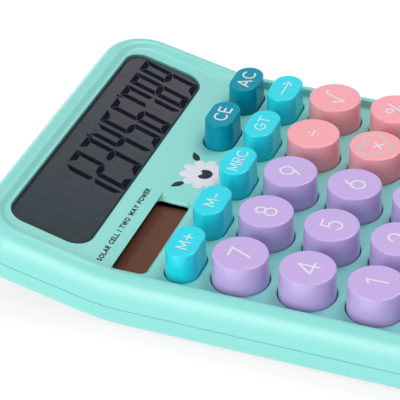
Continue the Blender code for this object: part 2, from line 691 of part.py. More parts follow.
def make_battery(home):
    cell_low = FLOOR - BASE
    cell_top = cell_low + CELL_HEIGHT
    cap_radius = CELL_RADIUS - 0.9 * MM  # of the raised pole
    cell = (
        (0.0, cell_top), (cap_radius, cell_top), (cap_radius, cell_top - 0.4 * MM),
        (CELL_RADIUS, cell_top - 0.8 * MM), (CELL_RADIUS, cell_low + 0.2 * MM),
        (CELL_RADIUS - 0.2 * MM, cell_low), (0.0, cell_low),
    )
    battery = turned("battery_cell", cell, "steel", home, 20)
    battery.matrix_world = bay_place() @ Matrix.Translation((0, CELL_S, 0))
    leaf = 0.25 * MM
    minus = box((4 * MM, 12 * MM, leaf), (0, 0, cell_top + GAP))
    bay_piece("battery_contact_minus", minus, "brass", home)
    plus = box((leaf, 6 * MM, 2.6 * MM), (-CELL_RADIUS - 2 * GAP, CELL_S, cell_low + 1.7 * MM))
    bay_piece("battery_contact_plus", plus, "brass", home)
    make_battery_door(home)


def make_battery_door(home):
    """A flush lid with two hooks at its front edge, turned about its outer front edge."""
    half_x = BAY_HALF_X - DOOR_CLEARANCE
    front = -BAY_HALF_S + DOOR_CLEARANCE
    length = 2 * (BAY_HALF_S - DOOR_CLEARANCE)
    hinge_y = -BAY_HALF_S
    lid = box((2 * half_x, length, DOOR_THICK), (0, front + length / 2 - hinge_y, DOOR_THICK / 2))
    door = add_object("battery_door", lid, "mint", home)
    door.matrix_world = bay_place() @ Matrix.Translation((0, hinge_y, 0))
    hooks = collection("battery_door_hooks")
    for side in (-1, 1):
        stem = box((2.2 * MM, 1.2 * MM, 2.6 * MM), (side * 5 * MM, 0.9 * MM, 1.0 * MM + 1.3 * MM))
        tip = box((2.2 * MM, 2.6 * MM, 0.8 * MM), (side * 5 * MM, 0.2 * MM, 2.8 * MM + 0.4 * MM))
        for mesh, kind in ((stem, "stem"), (tip, "tip")):
            helper = add_object(f"door_{kind}_{side}", mesh, None, hooks)
            helper.matrix_world = door.matrix_world
    notches = collection("battery_door_notches")
    notch = add_object("finger_notch", cylinder(4 * MM, -1.0 * MM, 0.7 * MM), None, notches)
    notch.matrix_world = door.matrix_world @ Matrix.Translation((0, length - 0.5 * MM, 0))
    combine(door, "UNION", hooks)
    combine(door, "DIFFERENCE", notches)


def main():
    clear_scene()
    make_finishes()
    home = collection("desk_calculator")
    make_upper_case(home)
    make_lower_case(home)
    make_keys(home)
    make_fasteners(home)
    make_display(home)
    make_electronics(home)
    make_battery(home)
    make_leads(home)


main()
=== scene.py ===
"""Desk calculator: the looks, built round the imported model.

Metres, +X right, +Y towards the display, +Z up. The case is a straight slab, x across, s along it and n above the
table, that bent() turns upwards behind the keys. Sizes repeat the model's own.
"""

import json
import math

import bmesh
import bpy
import numpy as np
from mathutils import Matrix, Vector

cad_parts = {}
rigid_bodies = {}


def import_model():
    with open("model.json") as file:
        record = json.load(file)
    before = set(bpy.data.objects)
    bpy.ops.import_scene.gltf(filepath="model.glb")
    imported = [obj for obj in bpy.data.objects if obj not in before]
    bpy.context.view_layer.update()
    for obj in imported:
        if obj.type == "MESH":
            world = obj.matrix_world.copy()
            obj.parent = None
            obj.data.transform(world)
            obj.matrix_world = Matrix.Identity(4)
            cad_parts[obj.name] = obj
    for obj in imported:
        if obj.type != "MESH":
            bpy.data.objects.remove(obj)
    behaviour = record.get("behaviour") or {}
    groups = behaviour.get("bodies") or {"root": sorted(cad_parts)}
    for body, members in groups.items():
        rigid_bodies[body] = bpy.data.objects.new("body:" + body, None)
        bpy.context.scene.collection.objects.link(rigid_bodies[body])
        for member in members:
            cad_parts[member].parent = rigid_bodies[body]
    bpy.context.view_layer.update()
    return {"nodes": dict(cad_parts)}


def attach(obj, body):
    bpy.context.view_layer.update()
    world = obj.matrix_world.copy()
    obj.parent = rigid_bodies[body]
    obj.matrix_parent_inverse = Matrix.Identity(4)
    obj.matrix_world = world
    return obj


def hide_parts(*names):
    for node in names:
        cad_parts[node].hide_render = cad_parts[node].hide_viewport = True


MM = 0.001
GAP = 0.3 * MM

# Keys
CAP_RADIUS = 8.25 * MM
CAP_RISE = 9.2 * MM
CAP_DRAFT = 0.29 * MM
CAP_EDGE = 0.5 * MM
CAP_DISH = 0.12 * MM  # hollow of a cap's top
MEMORY_HALF = (7.85 * MM, 4.75 * MM)
CLEAR_HALF = (7.5 * MM, 4.6 * MM)
KEY_CLEARANCE = 0.25 * MM
FLANGE = 1.0 * MM
PLUNGER_RADIUS = 3.0 * MM
PLUNGER = 0.9 * MM
PITCH_X = 22.1 * MM
PITCH_Y = 20.44 * MM
DIGIT_ROW_Y = -1.4 * MM
MEMORY_ROW_Y = DIGIT_ROW_Y + 17.0 * MM
CLEAR_ROW_Y = DIGIT_ROW_Y + 30.7 * MM
CLEAR_SHIFT = 1.0 * MM
CAP_SIDES = 72

# Case
HALF_WIDTH = 61.9 * MM
FRONT_S = -82.25 * MM
REAR_S = 81.6 * MM
CORNER = 17.0 * MM
DECK_TOP = 14.7 * MM
DECK_WALL = 1.8 * MM
RIM_TOP = 17.1 * MM
RIM_INSET = 5.4 * MM
WALL_FOOT = 7.3 * MM  # inset of the foot of the rim's inner wall
WALL_HEAD = 6.0 * MM  # and of its top
WALL_SPREAD = 1.2 * MM  # how much wider the wall's slope is round the display
SEAM = 7.75 * MM
SEAM_GAP = 0.14 * MM
BASE = 0.8 * MM
BASE_INSET = 2.2 * MM
FLOOR = 2.6 * MM
LIP = 1.0 * MM
BEND_START = 29.1 * MM
BEND_RADIUS = 50.0 * MM
CASE_TILT = math.radians(13.0)
DECK_TILT = math.radians(15.0)
EDGE = 0.2 * MM  # width of the chamfer round each hole in the deck
CREASE = math.radians(32.0)  # edges sharper than this stay sharp in shading

# Screws, bosses and feet
SCREW_PLACES = (
    (-33.15 * MM, -52.5 * MM), (33.15 * MM, -52.5 * MM),
    (-33.15 * MM, -11.6 * MM), (33.15 * MM, -11.6 * MM),
    (-54.5 * MM, 67.5 * MM), (54.5 * MM, 67.5 * MM),
)
SCREW_RADIUS = 1.0 * MM
SCREW_HEAD = (2.1 * MM, 1.3 * MM)
BOSS_RADIUS = 2.5 * MM
BOSS_END = 4.4 * MM
BOSS_REACH = 0.9 * MM
PILOT = 6.0 * MM
POST_RADIUS = 4.2 * MM
POST_TOP = 5.3 * MM
FOOT_PLACES = ((-47 * MM, -69 * MM), (47 * MM, -69 * MM), (-47 * MM, 20 * MM), (47 * MM, 20 * MM))
FOOT_RADIUS = 4.6 * MM
FOOT_HEIGHT = 1.1 * MM

# Display, in its own frame: z = 0 on the deck at the middle of the window
WINDOW_HALF_X = 49.6 * MM
WINDOW_S = (45.6 * MM, 72.5 * MM)
WINDOW_HALF_Y = (WINDOW_S[1] - WINDOW_S[0]) / 2
WINDOW_CORNER = 6.3 * MM
WINDOW_THICK = 0.8 * MM
WINDOW_PLAY = 0.12 * MM
LEDGE = 0.6 * MM
LCD_HALF = (48.8 * MM, 12.6 * MM)
LCD_CORNER = 5.5 * MM
LCD_Z = (-3.05 * MM, -1.15 * MM)

# Digits of the display
DIGIT_PITCH = 8.12 * MM
DIGIT_SIZE = (6.65 * MM, 20.1 * MM)
DIGIT_BAR = 2.05 * MM  # thickness of one bar
DIGIT_GAP = 0.14 * MM  # half the gap between bars
DIGIT_LEAN = 0.1
DIGIT_RIGHT = 48.65 * MM
DIGIT_LOW = -12.35 * MM
SHOWN = "   123456789"
BARS = {
    "1": "bc", "2": "abged", "3": "abgcd", "4": "fgbc", "5": "afgcd", "6": "afgedc", "7": "fabc", "8": "abcdefg",
    "9": "abcdfg", " ": "",
}

# Solar cell
SOLAR_X = (-52.4 * MM, -12.9 * MM)
SOLAR_Y = (24.8 * MM, 38.0 * MM)
SOLAR_CORNER = 3.0 * MM
SOLAR_BEVEL = 1.3 * MM
SOLAR_TOP = 11.6 * MM
SOLAR_THICK = 1.1 * MM

# Battery bay, in its own frame: z = 0 on the underside of the case
BAY_X = 28.0 * MM
BAY_S = 62.0 * MM
BAY_HALF_X = 7.3 * MM
BAY_HALF_S = 8.3 * MM
BAY_INNER = (8.2 * MM, -10.4 * MM, 8.8 * MM)
BAY_CEILING = 5.5 * MM
BAY_WALL = 1.1 * MM

# Prints
INK = 0.035 * MM  # height of a print above the plastic
SINK = 0.012 * MM  # and its depth under the surface
WORDS = "SOLAR CELL | TWO WAY POWER"
WORDS_CORNER = (-51.6 * MM, 39.6 * MM)
FLOWER = np.array([1.75, 27.4]) * MM
FLOWER_RADIUS = 7.9 * MM
FLOWER_EYE_RADIUS = 2.5 * MM
PETALS = 10
LEAF_START = 6.9 * MM  # from the flower's middle
LEAF_LENGTH = 5.6 * MM

ROUND_KEYS = (  # each row from left to right
    ("7", "8", "9", "divide", "root"),
    ("4", "5", "6", "multiply", "percent"),
    ("1", "2", "3", "minus", "sign"),
    ("0", "00", "point", "plus", "equals"),
)
LILAC_COLUMNS = 3
MEMORY_KEYS = (  # name, legend
    ("key_memory_plus", "M+"), ("key_memory_minus", "M-"), ("key_memory_recall", "MRC"), ("key_grand_total", "GT"),
    ("key_backspace", "backspace"),
)
CLEAR_KEYS = (("key_clear_entry", 3, "CE"), ("key_all_clear", 4, "AC"))  # name, column, legend


# Places on the bent slab


def bent(x, s, n, tilt=CASE_TILT):
    """Points x across, s along and n above the straight slab, once its rear is turned up.

    Up to BEND_START nothing moves. Then s runs along an arc of BEND_RADIUS, measured at the deck, until it has turned
    by tilt, and straight on from there; n is always measured square to the slab.
    """
    x, s, n = np.broadcast_arrays(x, s, n)
    centre_z = DECK_TOP + BEND_RADIUS
    turn = np.clip((s - BEND_START) / BEND_RADIUS, 0.0, tilt)
    beyond = s - BEND_START - BEND_RADIUS * turn
    radius = centre_z - n
    y = BEND_START + radius * np.sin(turn) + beyond * np.cos(turn)
    z = centre_z - radius * np.cos(turn) + beyond * np.sin(turn)
    return np.stack([x, y, z], -1)


def standing(points, x, s, n, tilt=CASE_TILT):
    """Points of a small frame whose z stands square to the slab, moved to x, s and n on it."""
    turn = min(max((s - BEND_START) / BEND_RADIUS, 0.0), tilt)
    cos, sin = math.cos(turn), math.sin(turn)
    turned = np.stack([
        points[..., 0],
        points[..., 1] * cos - points[..., 2] * sin,
        points[..., 1] * sin + points[..., 2] * cos,
    ], -1)
    return turned + bent(x, s, n, tilt)


def on_display(points):
    return standing(points, 0.0, sum(WINDOW_S) / 2, DECK_TOP, DECK_TILT)


def in_bay(points):
    return standing(points, BAY_X, BAY_S, BASE)


def on_deck(points):
    """Points (x, s, height) laid on the deck's surface."""
    return bent(points[..., 0], points[..., 1], DECK_TOP + points[..., 2], DECK_TILT)


# Outlines: rows of (x, y), the right half from front to rear and then the left half back


def arc(cx, cy, rx, ry, start, end, steps=24):
    """Points round an ellipse from one angle to another, in degrees."""
    angle = np.radians(np.linspace(start, end, steps + 1))
    return np.stack([cx + rx * np.cos(angle), cy + ry * np.sin(angle)], -1)


def whole(half):
    return np.concatenate([half, half[::-1] * (-1, 1)])


def rounded(half_x, low, high, radius, steps=16):
    """A rectangle with round corners."""
    right = half_x - radius
    front = arc(right, low + radius, radius, radius, -90, 0, steps)
    return whole(np.concatenate([front, arc(right, high - radius, radius, radius, 0, 90, steps)]))


def window_outline(inset, half_x=WINDOW_HALF_X, half_y=WINDOW_HALF_Y, corner=WINDOW_CORNER):
    """A rectangle about (0, 0) with round corners, all moved in by inset: the display window's, unless sizes say."""
    return rounded(half_x - inset, inset - half_y, half_y - inset, corner - inset)


def stadium(half_x, half_y, sides=CAP_SIDES):
    return whole(arc(half_x - half_y, 0, half_y, half_y, -90, 90, sides // 2 - 1))


def circle(radius, sides=48):
    return stadium(radius, radius, sides)


def case_outline(inset):
    """The case's plan moved in by inset, with close points round its corners and along the bend."""
    half_x, corner = HALF_WIDTH - inset, CORNER - inset
    front = arc(half_x - corner, FRONT_S + inset + corner, corner, corner, -90, 0)
    rear = arc(half_x - corner, REAR_S - inset - corner, corner, corner, 0, 90)
    bend = np.linspace(BEND_START - 2 * MM, BEND_START + BEND_RADIUS * DECK_TILT + 2 * MM, 30)
    along = np.concatenate([np.linspace(-50 * MM, 20 * MM, 8), bend, [50 * MM, 58 * MM]])
    side = np.stack([np.full_like(along, half_x), along], -1)
    return whole(np.concatenate([front, side, rear]))


# Meshes


def grid(rows, columns, loop=True, closed=False):
    """Four-cornered faces over rows x columns points. loop joins the last column to the first, closed the rows."""
    row = np.arange(rows if closed else rows - 1)[:, None]
    column = np.arange(columns if loop else columns - 1)[None, :]
    below, after = (row + 1) % rows, (column + 1) % columns
    corners = (row * columns + column, row * columns + after, below * columns + after, below * columns + column)
    return np.stack(np.broadcast_arrays(*corners), -1).reshape(-1, 4)


def strips(columns, first):
    """Faces across a mirrored outline, from each point on the right to its twin on the left."""
    i = np.arange(columns // 2 - 1)
    return np.stack([i, i + 1, columns - 2 - i, columns - 1 - i], -1) + first


def loft(rings):
    """Points and faces of a closed skin through rings of equally many points, its ends closed by strips."""
    rings = np.asarray(rings)
    rows, columns = rings.shape[:2]
    ends = [strips(columns, 0), strips(columns, (rows - 1) * columns)[:, ::-1]]
    return rings.reshape(-1, 3), np.concatenate([grid(rows, columns)[:, ::-1], *ends])


def prism(outline, low, high):
    return loft([level(outline, low), level(outline, high)])


def level(outline, z):
    return np.concatenate([outline, np.full((len(outline), 1), z)], -1)


def block(half_x, low_y, high_y, low_z, high_z):
    return prism(np.array([(half_x, low_y), (half_x, high_y), (-half_x, high_y), (-half_x, low_y)]), low_z, high_z)


def joined(parts):
    """Several skins as one set of points and faces."""
    starts = np.cumsum([0] + [len(points) for points, _faces in parts[:-1]])
    points = np.concatenate([points for points, _faces in parts])
    faces = np.concatenate([faces + start for (_points, faces), start in zip(parts, starts)])
    return points, faces


def moved(solid, place):
    """A skin shifted by (x, y, z), or with its points put through a function."""
    points, faces = solid
    return (place(points) if callable(place) else points + place), faces


def skin(points, faces):
    """A mesh whose faces point outwards: they are turned round if the volume they close is negative."""
    corners = points[faces]
    normals = np.cross(corners[:, 2] - corners[:, 0], corners[:, 3] - corners[:, 1])
    if (corners.mean(axis=1) * normals).sum() < 0:
        faces = faces[:, ::-1]
    mesh = bpy.data.meshes.new("skin")
    mesh.from_pydata(points.tolist(), [], faces.tolist())
    shape = bmesh.new()
    shape.from_mesh(mesh)
    bmesh.ops.remove_doubles(shape, verts=shape.verts, dist=1e-7)
    bmesh.ops.dissolve_degenerate(shape, edges=shape.edges, dist=1e-8)
    shape.to_mesh(mesh)
    shape.free()
    return mesh


def carved(solid, added, cut):
    """A mesh of one skin with others added and then cut away."""
    obj = bpy.data.objects.new("work", skin(*solid))
    bpy.context.scene.collection.objects.link(obj)
    homes = []
    for operation, helpers in (("UNION", added), ("DIFFERENCE", cut)):
        if not helpers:
            continue
        home = bpy.data.collections.new("helpers")
        bpy.context.scene.collection.children.link(home)
        homes.append(home)
        for each in helpers:
            home.objects.link(bpy.data.objects.new("helper", skin(*each)))
        boolean = obj.modifiers.new(operation, "BOOLEAN")
        boolean.operation = operation
        boolean.operand_type = "COLLECTION"
        boolean.collection = home
    bpy.context.view_layer.update()
    made = bpy.data.meshes.new_from_object(obj.evaluated_get(bpy.context.evaluated_depsgraph_get()))
    for home in homes:
        for each in list(home.objects):
            bpy.data.objects.remove(each)
        bpy.data.collections.remove(home)
    bpy.data.objects.remove(obj)
    return made


def reshaped(mesh, place):
    """The mesh, once its points have been put through a function."""
    points = np.empty(len(mesh.vertices) * 3)
    mesh.vertices.foreach_get("co", points)
    mesh.vertices.foreach_set("co", place(points.reshape(-1, 3)).ravel())
    return mesh


def piece(name, form, finish, body="case", slot=None, stands_for=()):
    """A finished piece from a mesh or a skin: smooth but for its creases, its large faces keeping their normals."""
    mesh = form if isinstance(form, bpy.types.Mesh) else skin(*form)
    mesh.name = name
    mesh.shade_smooth()
    mesh.set_sharp_from_angle(angle=CREASE)
    mesh.materials.clear()
    mesh.materials.append(bpy.data.materials[finish])
    obj = bpy.data.objects.new(name, mesh)
    bpy.context.scene.collection.objects.link(obj)
    normals = obj.modifiers.new("large faces stay flat", "WEIGHTED_NORMAL")
    normals.keep_sharp = True
    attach(obj, body)
    if stands_for:
        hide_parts(*stands_for)
    return obj


# Keys


def key_x(column):
    return (column - 2) * PITCH_X


def key_places():
    """Each key's name, x, y, colour, legend and the half sizes of its top, both the same on a round one."""
    for row, names in enumerate(ROUND_KEYS):
        for column, name in enumerate(names):
            tint = "lilac" if column < LILAC_COLUMNS else "pink"
            yield f"key_{name}", key_x(column), DIGIT_ROW_Y - row * PITCH_Y, tint, name, (CAP_RADIUS, CAP_RADIUS)
    for column, (name, legend) in enumerate(MEMORY_KEYS):
        yield name, key_x(column), MEMORY_ROW_Y, "cyan", legend, MEMORY_HALF
    for name, column, legend in CLEAR_KEYS:
        yield name, key_x(column) + CLEAR_SHIFT, CLEAR_ROW_Y, "teal", legend, CLEAR_HALF


def dished(share):
    """Height of a cap's top at that share of the way out to its edge: a shallow bowl that ends level."""
    return CAP_RISE - CAP_DISH * (1 - np.clip(share, 0, 1) ** 2) ** 2


def cap_surface(points, half_x, half_y):
    """Height of a cap's top under points (x, y): the share is taken from the middle, or from an oval's middle line."""
    out = np.hypot(np.maximum(np.abs(points[..., 0]) - (half_x - half_y), 0), points[..., 1])
    return dished(out / (half_y - CAP_EDGE))


def cap_sections(top):
    """(size, z above the deck) from the middle of the top, over the rounded edge, down to the plunger's end."""
    edge = top - CAP_EDGE
    share = np.array([0.0, 0.2, 0.4, 0.6, 0.75, 0.88, 0.96])
    turn = np.radians(np.linspace(0, 90, 7))
    under = -DECK_WALL - GAP
    base = top + CAP_DRAFT
    size = [share * edge, edge + CAP_EDGE * np.sin(turn), [base, base + FLANGE, base + FLANGE]]
    z = [dished(share), CAP_RISE - CAP_EDGE + CAP_EDGE * np.cos(turn), [under, under, under - FLANGE]]
    return np.concatenate(size), np.concatenate(z)


def make_key(name, x, y, colour, legend, half):
    """A cap and its flange on a round plunger: a circle or a stadium, larger or smaller at each height."""
    half_x, half_y = half
    spare = half_x - half_y
    size, z = cap_sections(half_y)
    rings = [level(stadium(a + spare, a), b) for a, b in zip(size, z)]
    end = z[-1] - PLUNGER
    rings += [level(circle(PLUNGER_RADIUS, CAP_SIDES), b) for b in (z[-1], end + 0.2 * MM)]
    rings.append(level(circle(PLUNGER_RADIUS - 0.2 * MM, CAP_SIDES), end))
    place, short = (x, y, DECK_TOP), name.removeprefix("key_")
    piece(f"cap_{short}", moved(loft(rings), place), f"{colour} plastic", name, f"key_{colour}", [name])

    def on_cap(points):
        return points + np.stack([0 * points[:, 0]] * 2 + [cap_surface(points, half_x, half_y)], -1) + place

    for mark, ink, strokes, width in legend_marks(legend):
        bead = joined([pen_stroke(stroke, width) for stroke in strokes])
        piece(f"{mark}_{short}", moved(bead, on_cap), ink, name, f"key_{colour}")


# Lettering: each sign is strokes on a body one high, drawn with a round pen


def line(*corners):
    """Straight strokes from corner to corner, each one of its own so that the corners come out round."""
    steps = np.linspace(0, 1, 5)[:, None]
    ends = np.asarray(corners, float)
    return [a + (b - a) * steps for a, b in zip(ends, ends[1:])]


def curve(*place):
    return [arc(*place, steps=28)]


SIGNS = {  # sign: (width, strokes)
    "0": (0.64, curve(0.32, 0.5, 0.32, 0.5, 0, 360)),
    "1": (0.30, line((0, 0.87), (0.28, 1), (0.28, 0))),
    "2": (0.60, curve(0.30, 0.71, 0.29, 0.29, 170, -38) + line((0.53, 0.53), (0.02, 0), (0.6, 0))),
    "3": (0.58, curve(0.27, 0.75, 0.25, 0.25, 150, -90) + curve(0.27, 0.26, 0.29, 0.26, 90, -150)
          + line((0.27, 0.5), (0.2, 0.5))),
    "4": (0.80, line((0.8, 0.27), (0, 0.27), (0.57, 1), (0.57, 0))),
    "5": (0.62, line((0.54, 1), (0.12, 1), (0.08, 0.58)) + curve(0.29, 0.32, 0.32, 0.32, 130, -150)),
    "6": (0.66, curve(0.33, 0.33, 0.33, 0.33, 0, 360) + line((0.04, 0.48), (0.46, 1))),
    "7": (0.60, line((0, 1), (0.6, 1), (0.16, 0))),
    "8": (0.60, curve(0.30, 0.77, 0.23, 0.23, 0, 360) + curve(0.30, 0.27, 0.30, 0.27, 0, 360)),
    "9": (0.66, curve(0.33, 0.67, 0.33, 0.33, 0, 360) + line((0.62, 0.52), (0.20, 0))),
    "%": (1.00, curve(0.2, 0.8, 0.19, 0.19, 0, 360) + curve(0.8, 0.2, 0.19, 0.19, 0, 360) + line((0.82, 1), (0.18, 0))),
    "+": (0.80, line((0, 0.5), (0.8, 0.5)) + line((0.4, 0.1), (0.4, 0.9))),
    "-": (0.55, line((0, 0.42), (0.55, 0.42))),
    "|": (0.02, line((0.01, 0), (0.01, 1))),
    " ": (0.35, []),
    "A": (0.94, line((0, 0), (0.47, 1), (0.94, 0)) + line((0.16, 0.3), (0.78, 0.3))),
    "C": (0.90, curve(0.5, 0.5, 0.5, 0.5, 48, 312)),
    "E": (0.58, line((0.58, 1), (0, 1), (0, 0), (0.58, 0)) + line((0, 0.52), (0.52, 0.52))),
    "G": (0.96, curve(0.5, 0.5, 0.5, 0.5, 45, 355) + line((0.56, 0.46), (1.0, 0.46))),
    "L": (0.55, line((0, 1), (0, 0), (0.55, 0))),
    "M": (1.04, line((0, 0), (0.09, 1), (0.52, 0.22), (0.95, 1), (1.04, 0))),
    "O": (1.00, curve(0.5, 0.5, 0.5, 0.5, 0, 360)),
    "P": (0.60, line((0, 0), (0, 1), (0.3, 1)) + curve(0.3, 0.73, 0.29, 0.27, 90, -90) + line((0.3, 0.46), (0, 0.46))),
    "R": (0.62, line((0, 0), (0, 1), (0.3, 1)) + curve(0.3, 0.74, 0.29, 0.26, 90, -90)
          + line((0, 0.48), (0.3, 0.48), (0.62, 0))),
    "S": (0.60, curve(0.31, 0.75, 0.27, 0.25, 50, 270) + curve(0.31, 0.25, 0.29, 0.25, 90, -140)),
    "T": (0.82, line((0, 1), (0.82, 1)) + line((0.41, 1), (0.41, 0))),
    "W": (1.30, line((0, 1), (0.32, 0), (0.65, 0.95), (0.98, 0), (1.3, 1))),
    "Y": (0.84, line((0, 1), (0.42, 0.45), (0.84, 1)) + line((0.42, 0.45), (0.42, 0))),
}


def written(text, height, space, corner=None):
    """The strokes of a line of text, centred on (0, 0), or starting at corner."""
    strokes, reach = [], 0.0
    for sign in text:
        width, parts = SIGNS[sign]
        strokes += [part + (reach, 0) for part in parts]
        reach += width + space
    middle = ((reach - space) / 2, 0.5)
    return [(s - middle) * height if corner is None else s * height + corner for s in strokes]


def heart(half_x, low, high):
    """A plain heart's outline from the well-known curve x = sin^3, y = 13 cos - 5 cos 2 - 2 cos 3 - cos 4."""
    t = np.linspace(0, 2 * np.pi, 73)
    x = np.sin(t) ** 3
    y = 13 * np.cos(t) - 5 * np.cos(2 * t) - 2 * np.cos(3 * t) - np.cos(4 * t)
    y = (y - y.min()) / (y.max() - y.min())
    return np.stack([x * half_x, low + y * (high - low)], -1)


PEN = 0.68 * MM
FINE_PEN = 0.66 * MM
THIN_PEN = 0.43 * MM
SMALL_LETTERS = (3.3 * MM, 0.34, THIN_PEN)
LARGE_LETTERS = (3.9 * MM, 0.34, 0.62 * MM)
LETTERED = {  # legend: height, space between signs, pen
    "M+": SMALL_LETTERS, "M-": SMALL_LETTERS, "MRC": SMALL_LETTERS, "GT": SMALL_LETTERS,
    "CE": LARGE_LETTERS, "AC": LARGE_LETTERS, "00": (6.4 * MM, 0.3, PEN), "percent": (6.0 * MM, 0.34, FINE_PEN),
}
DRAWN = {  # legend: strokes in millimetres about the middle of the cap, pen
    "backspace": (line((-3.9, 0), (3.9, 0)) + line((2.0, 1.45), (3.9, 0), (2.0, -1.45)), THIN_PEN),
    "divide": (line((-1.5, 0), (1.5, 0)) + line((0, 1.45), (0.01, 1.45)) + line((0, -1.45), (0.01, -1.45)), PEN),
    "multiply": (line((-1.25, -1.85), (1.25, 0.65)) + line((-1.25, 0.65), (1.25, -1.85)), FINE_PEN),
    "plus": (line((-1.75, 0), (1.75, 0)) + line((0, -1.75), (0, 1.75)), PEN),
    "minus": (line((-1.6, 0), (1.6, 0)), PEN),
    "equals": (line((-1.75, 0.8), (1.75, 0.8)) + line((-1.75, -0.8), (1.75, -0.8)), PEN),
    "root": (line((-3.0, -0.7), (-2.5, -0.2), (-1.4, -3.5), (1.6, 3.4), (3.1, 3.5)), FINE_PEN),
    "sign": (line((-3.2, 1.2), (-0.8, 1.2)) + line((-2.0, 0), (-2.0, 2.4)) + line((-1.5, -3), (1.5, 3))
             + line((0.9, -1.3), (3.1, -1.3)), THIN_PEN),
    "point": (line((0, -1.2), (0.01, -1.2)), 1.3 * MM),
}


def legend_marks(legend):
    """Each mark on a key: its kind, its ink, its strokes in metres about the middle of the cap, and its pen."""
    if legend in DRAWN:
        strokes, pen = DRAWN[legend]
        strokes = [stroke * MM for stroke in strokes]
    else:
        height, space, pen = LETTERED.get(legend, (6.3 * MM, 0.34, PEN))
        strokes = written("%" if legend == "percent" else legend, height, space)
    marks = [("legend", "white ink", strokes, pen)]
    if legend == "multiply":
        marks.append(("outline", "grey mint ink", [heart(5.85 * MM, -6.2 * MM, 4.7 * MM)], 0.85 * MM))
    return marks


def pen_stroke(path, width, height=INK):
    """A flat bead of ink along a path. Across it is half an ellipse that stands height above the surface, and each
    end closes in the same round; a path that ends where it starts is a ring."""
    across = np.linspace(0, np.pi, 8)
    section = np.stack([np.cos(across) * width / 2, np.sin(across) * (height + SINK) - SINK], -1)
    ring = np.allclose(path[0], path[-1])
    if ring:
        path = path[:-1]
        along = np.roll(path, -1, axis=0) - np.roll(path, 1, axis=0)
    else:
        along = np.gradient(path, axis=0)
    along = along / np.linalg.norm(along, axis=1)[:, None]
    scale = np.ones(len(path))
    if not ring:
        turn = np.radians([88, 65, 40, 20])
        reach = (width / 2 * np.sin(turn))[:, None]
        path = np.concatenate([path[0] - along[0] * reach, path, path[-1] + along[-1] * reach[::-1]])
        along = np.concatenate([np.repeat(along[:1], 4, 0), along, np.repeat(along[-1:], 4, 0)])
        scale = np.concatenate([np.cos(turn), scale, np.cos(turn)[::-1]])
    side = np.stack([-along[:, 1], along[:, 0]], -1)
    flat = path[:, None] + side[:, None] * (section[None, :, :1] * scale[:, None, None])
    rise = np.broadcast_to(section[None, :, 1:], (*flat.shape[:2], 1))
    points = np.concatenate([flat, rise], -1)
    rows, columns = points.shape[:2]
    faces = grid(rows, columns, closed=ring)
    if not ring:
        faces = np.concatenate([faces, strips(columns, 0)[:, ::-1], strips(columns, (rows - 1) * columns)])
    return points.reshape(-1, 3), faces


# Case


def eased(t):
    return t * t * (3 - 2 * t)


def rim_rings():
    """The deck's margin and the rim's inner wall. From foot to head a point leaves the deck's surface and reaches the
    rim's top by the share 3 t^2 - 2 t^3, so it is level at both ends. Past the bend the foot lies WALL_SPREAD further
    in."""

    def outline(inset, spread):
        near = case_outline(inset)
        far = np.clip((near[:, 1:] - BEND_START) / (BEND_RADIUS * DECK_TILT), 0, 1)
        return near + (case_outline(inset + spread) - near) * eased(far)

    rings = [outline(WALL_FOOT + margin, WALL_SPREAD) for margin in (0.9 * MM, 0.15 * MM)]
    rings = [bent(r[:, 0], r[:, 1], DECK_TOP, DECK_TILT) for r in rings]
    for t in np.linspace(0, 1, 13):
        r = outline(WALL_FOOT + (WALL_HEAD - WALL_FOOT) * t, WALL_SPREAD * (1 - t))
        share = eased(t)
        low = bent(r[:, 0], r[:, 1], DECK_TOP, DECK_TILT)
        high = bent(r[:, 0], r[:, 1], RIM_TOP)
        rings.append(low + (high - low) * share)
    return rings


def quarter(inset, level_end, wide_end, steps):
    """(inset, n) along a quarter of an ellipse, from its level end in at inset to its widest point at inset 0."""
    turn = np.radians(np.linspace(90, 0, steps + 1))
    return zip(inset * (1 - np.cos(turn)), wide_end + (level_end - wide_end) * np.sin(turn))


def slab_rings(sections):
    for inset, n in sections:
        outline = case_outline(inset)
        yield bent(outline[:, 0], outline[:, 1], n)


def upper_case():
    seam = SEAM + SEAM_GAP / 2
    rebate = SEAM + LIP + GAP
    inner = ((0.12 * MM, seam), (0.6 * MM, seam), (0.6 * MM, rebate), (2.0 * MM, rebate), (2.6 * MM, 12.0 * MM))
    outside = list(quarter(RIM_INSET, RIM_TOP, seam + 0.12 * MM, 18))
    rings = [*rim_rings(), *slab_rings([*outside, *inner])]
    ceiling = case_outline(3.4 * MM)
    rings.append(bent(ceiling[:, 0], ceiling[:, 1], DECK_TOP - DECK_WALL, DECK_TILT))
    return loft(rings)


def hole(outline_at, deep):
    """A cutter that widens by EDGE in the last EDGE of its height and on above the surface, which is at z = 0."""
    steps = ((0.0, -deep), (0.0, -EDGE), (EDGE, 0.0), (EDGE + 2 * MM, 2 * MM))
    return loft([level(outline_at(spread), z) for spread, z in steps])


def key_holes():
    wider = CAP_DRAFT + KEY_CLEARANCE
    for _name, x, y, _colour, _legend, (half_x, half_y) in key_places():
        cutter = hole(lambda spread: stadium(half_x + wider + spread, half_y + wider + spread, 64), DECK_WALL + 2 * MM)
        yield moved(cutter, (x, y, DECK_TOP))


def window_holes():
    yield moved(hole(lambda spread: window_outline(-spread), WINDOW_THICK + 0.25 * MM), on_display)
    yield moved(prism(window_outline(LEDGE), -5 * MM, MM), on_display)


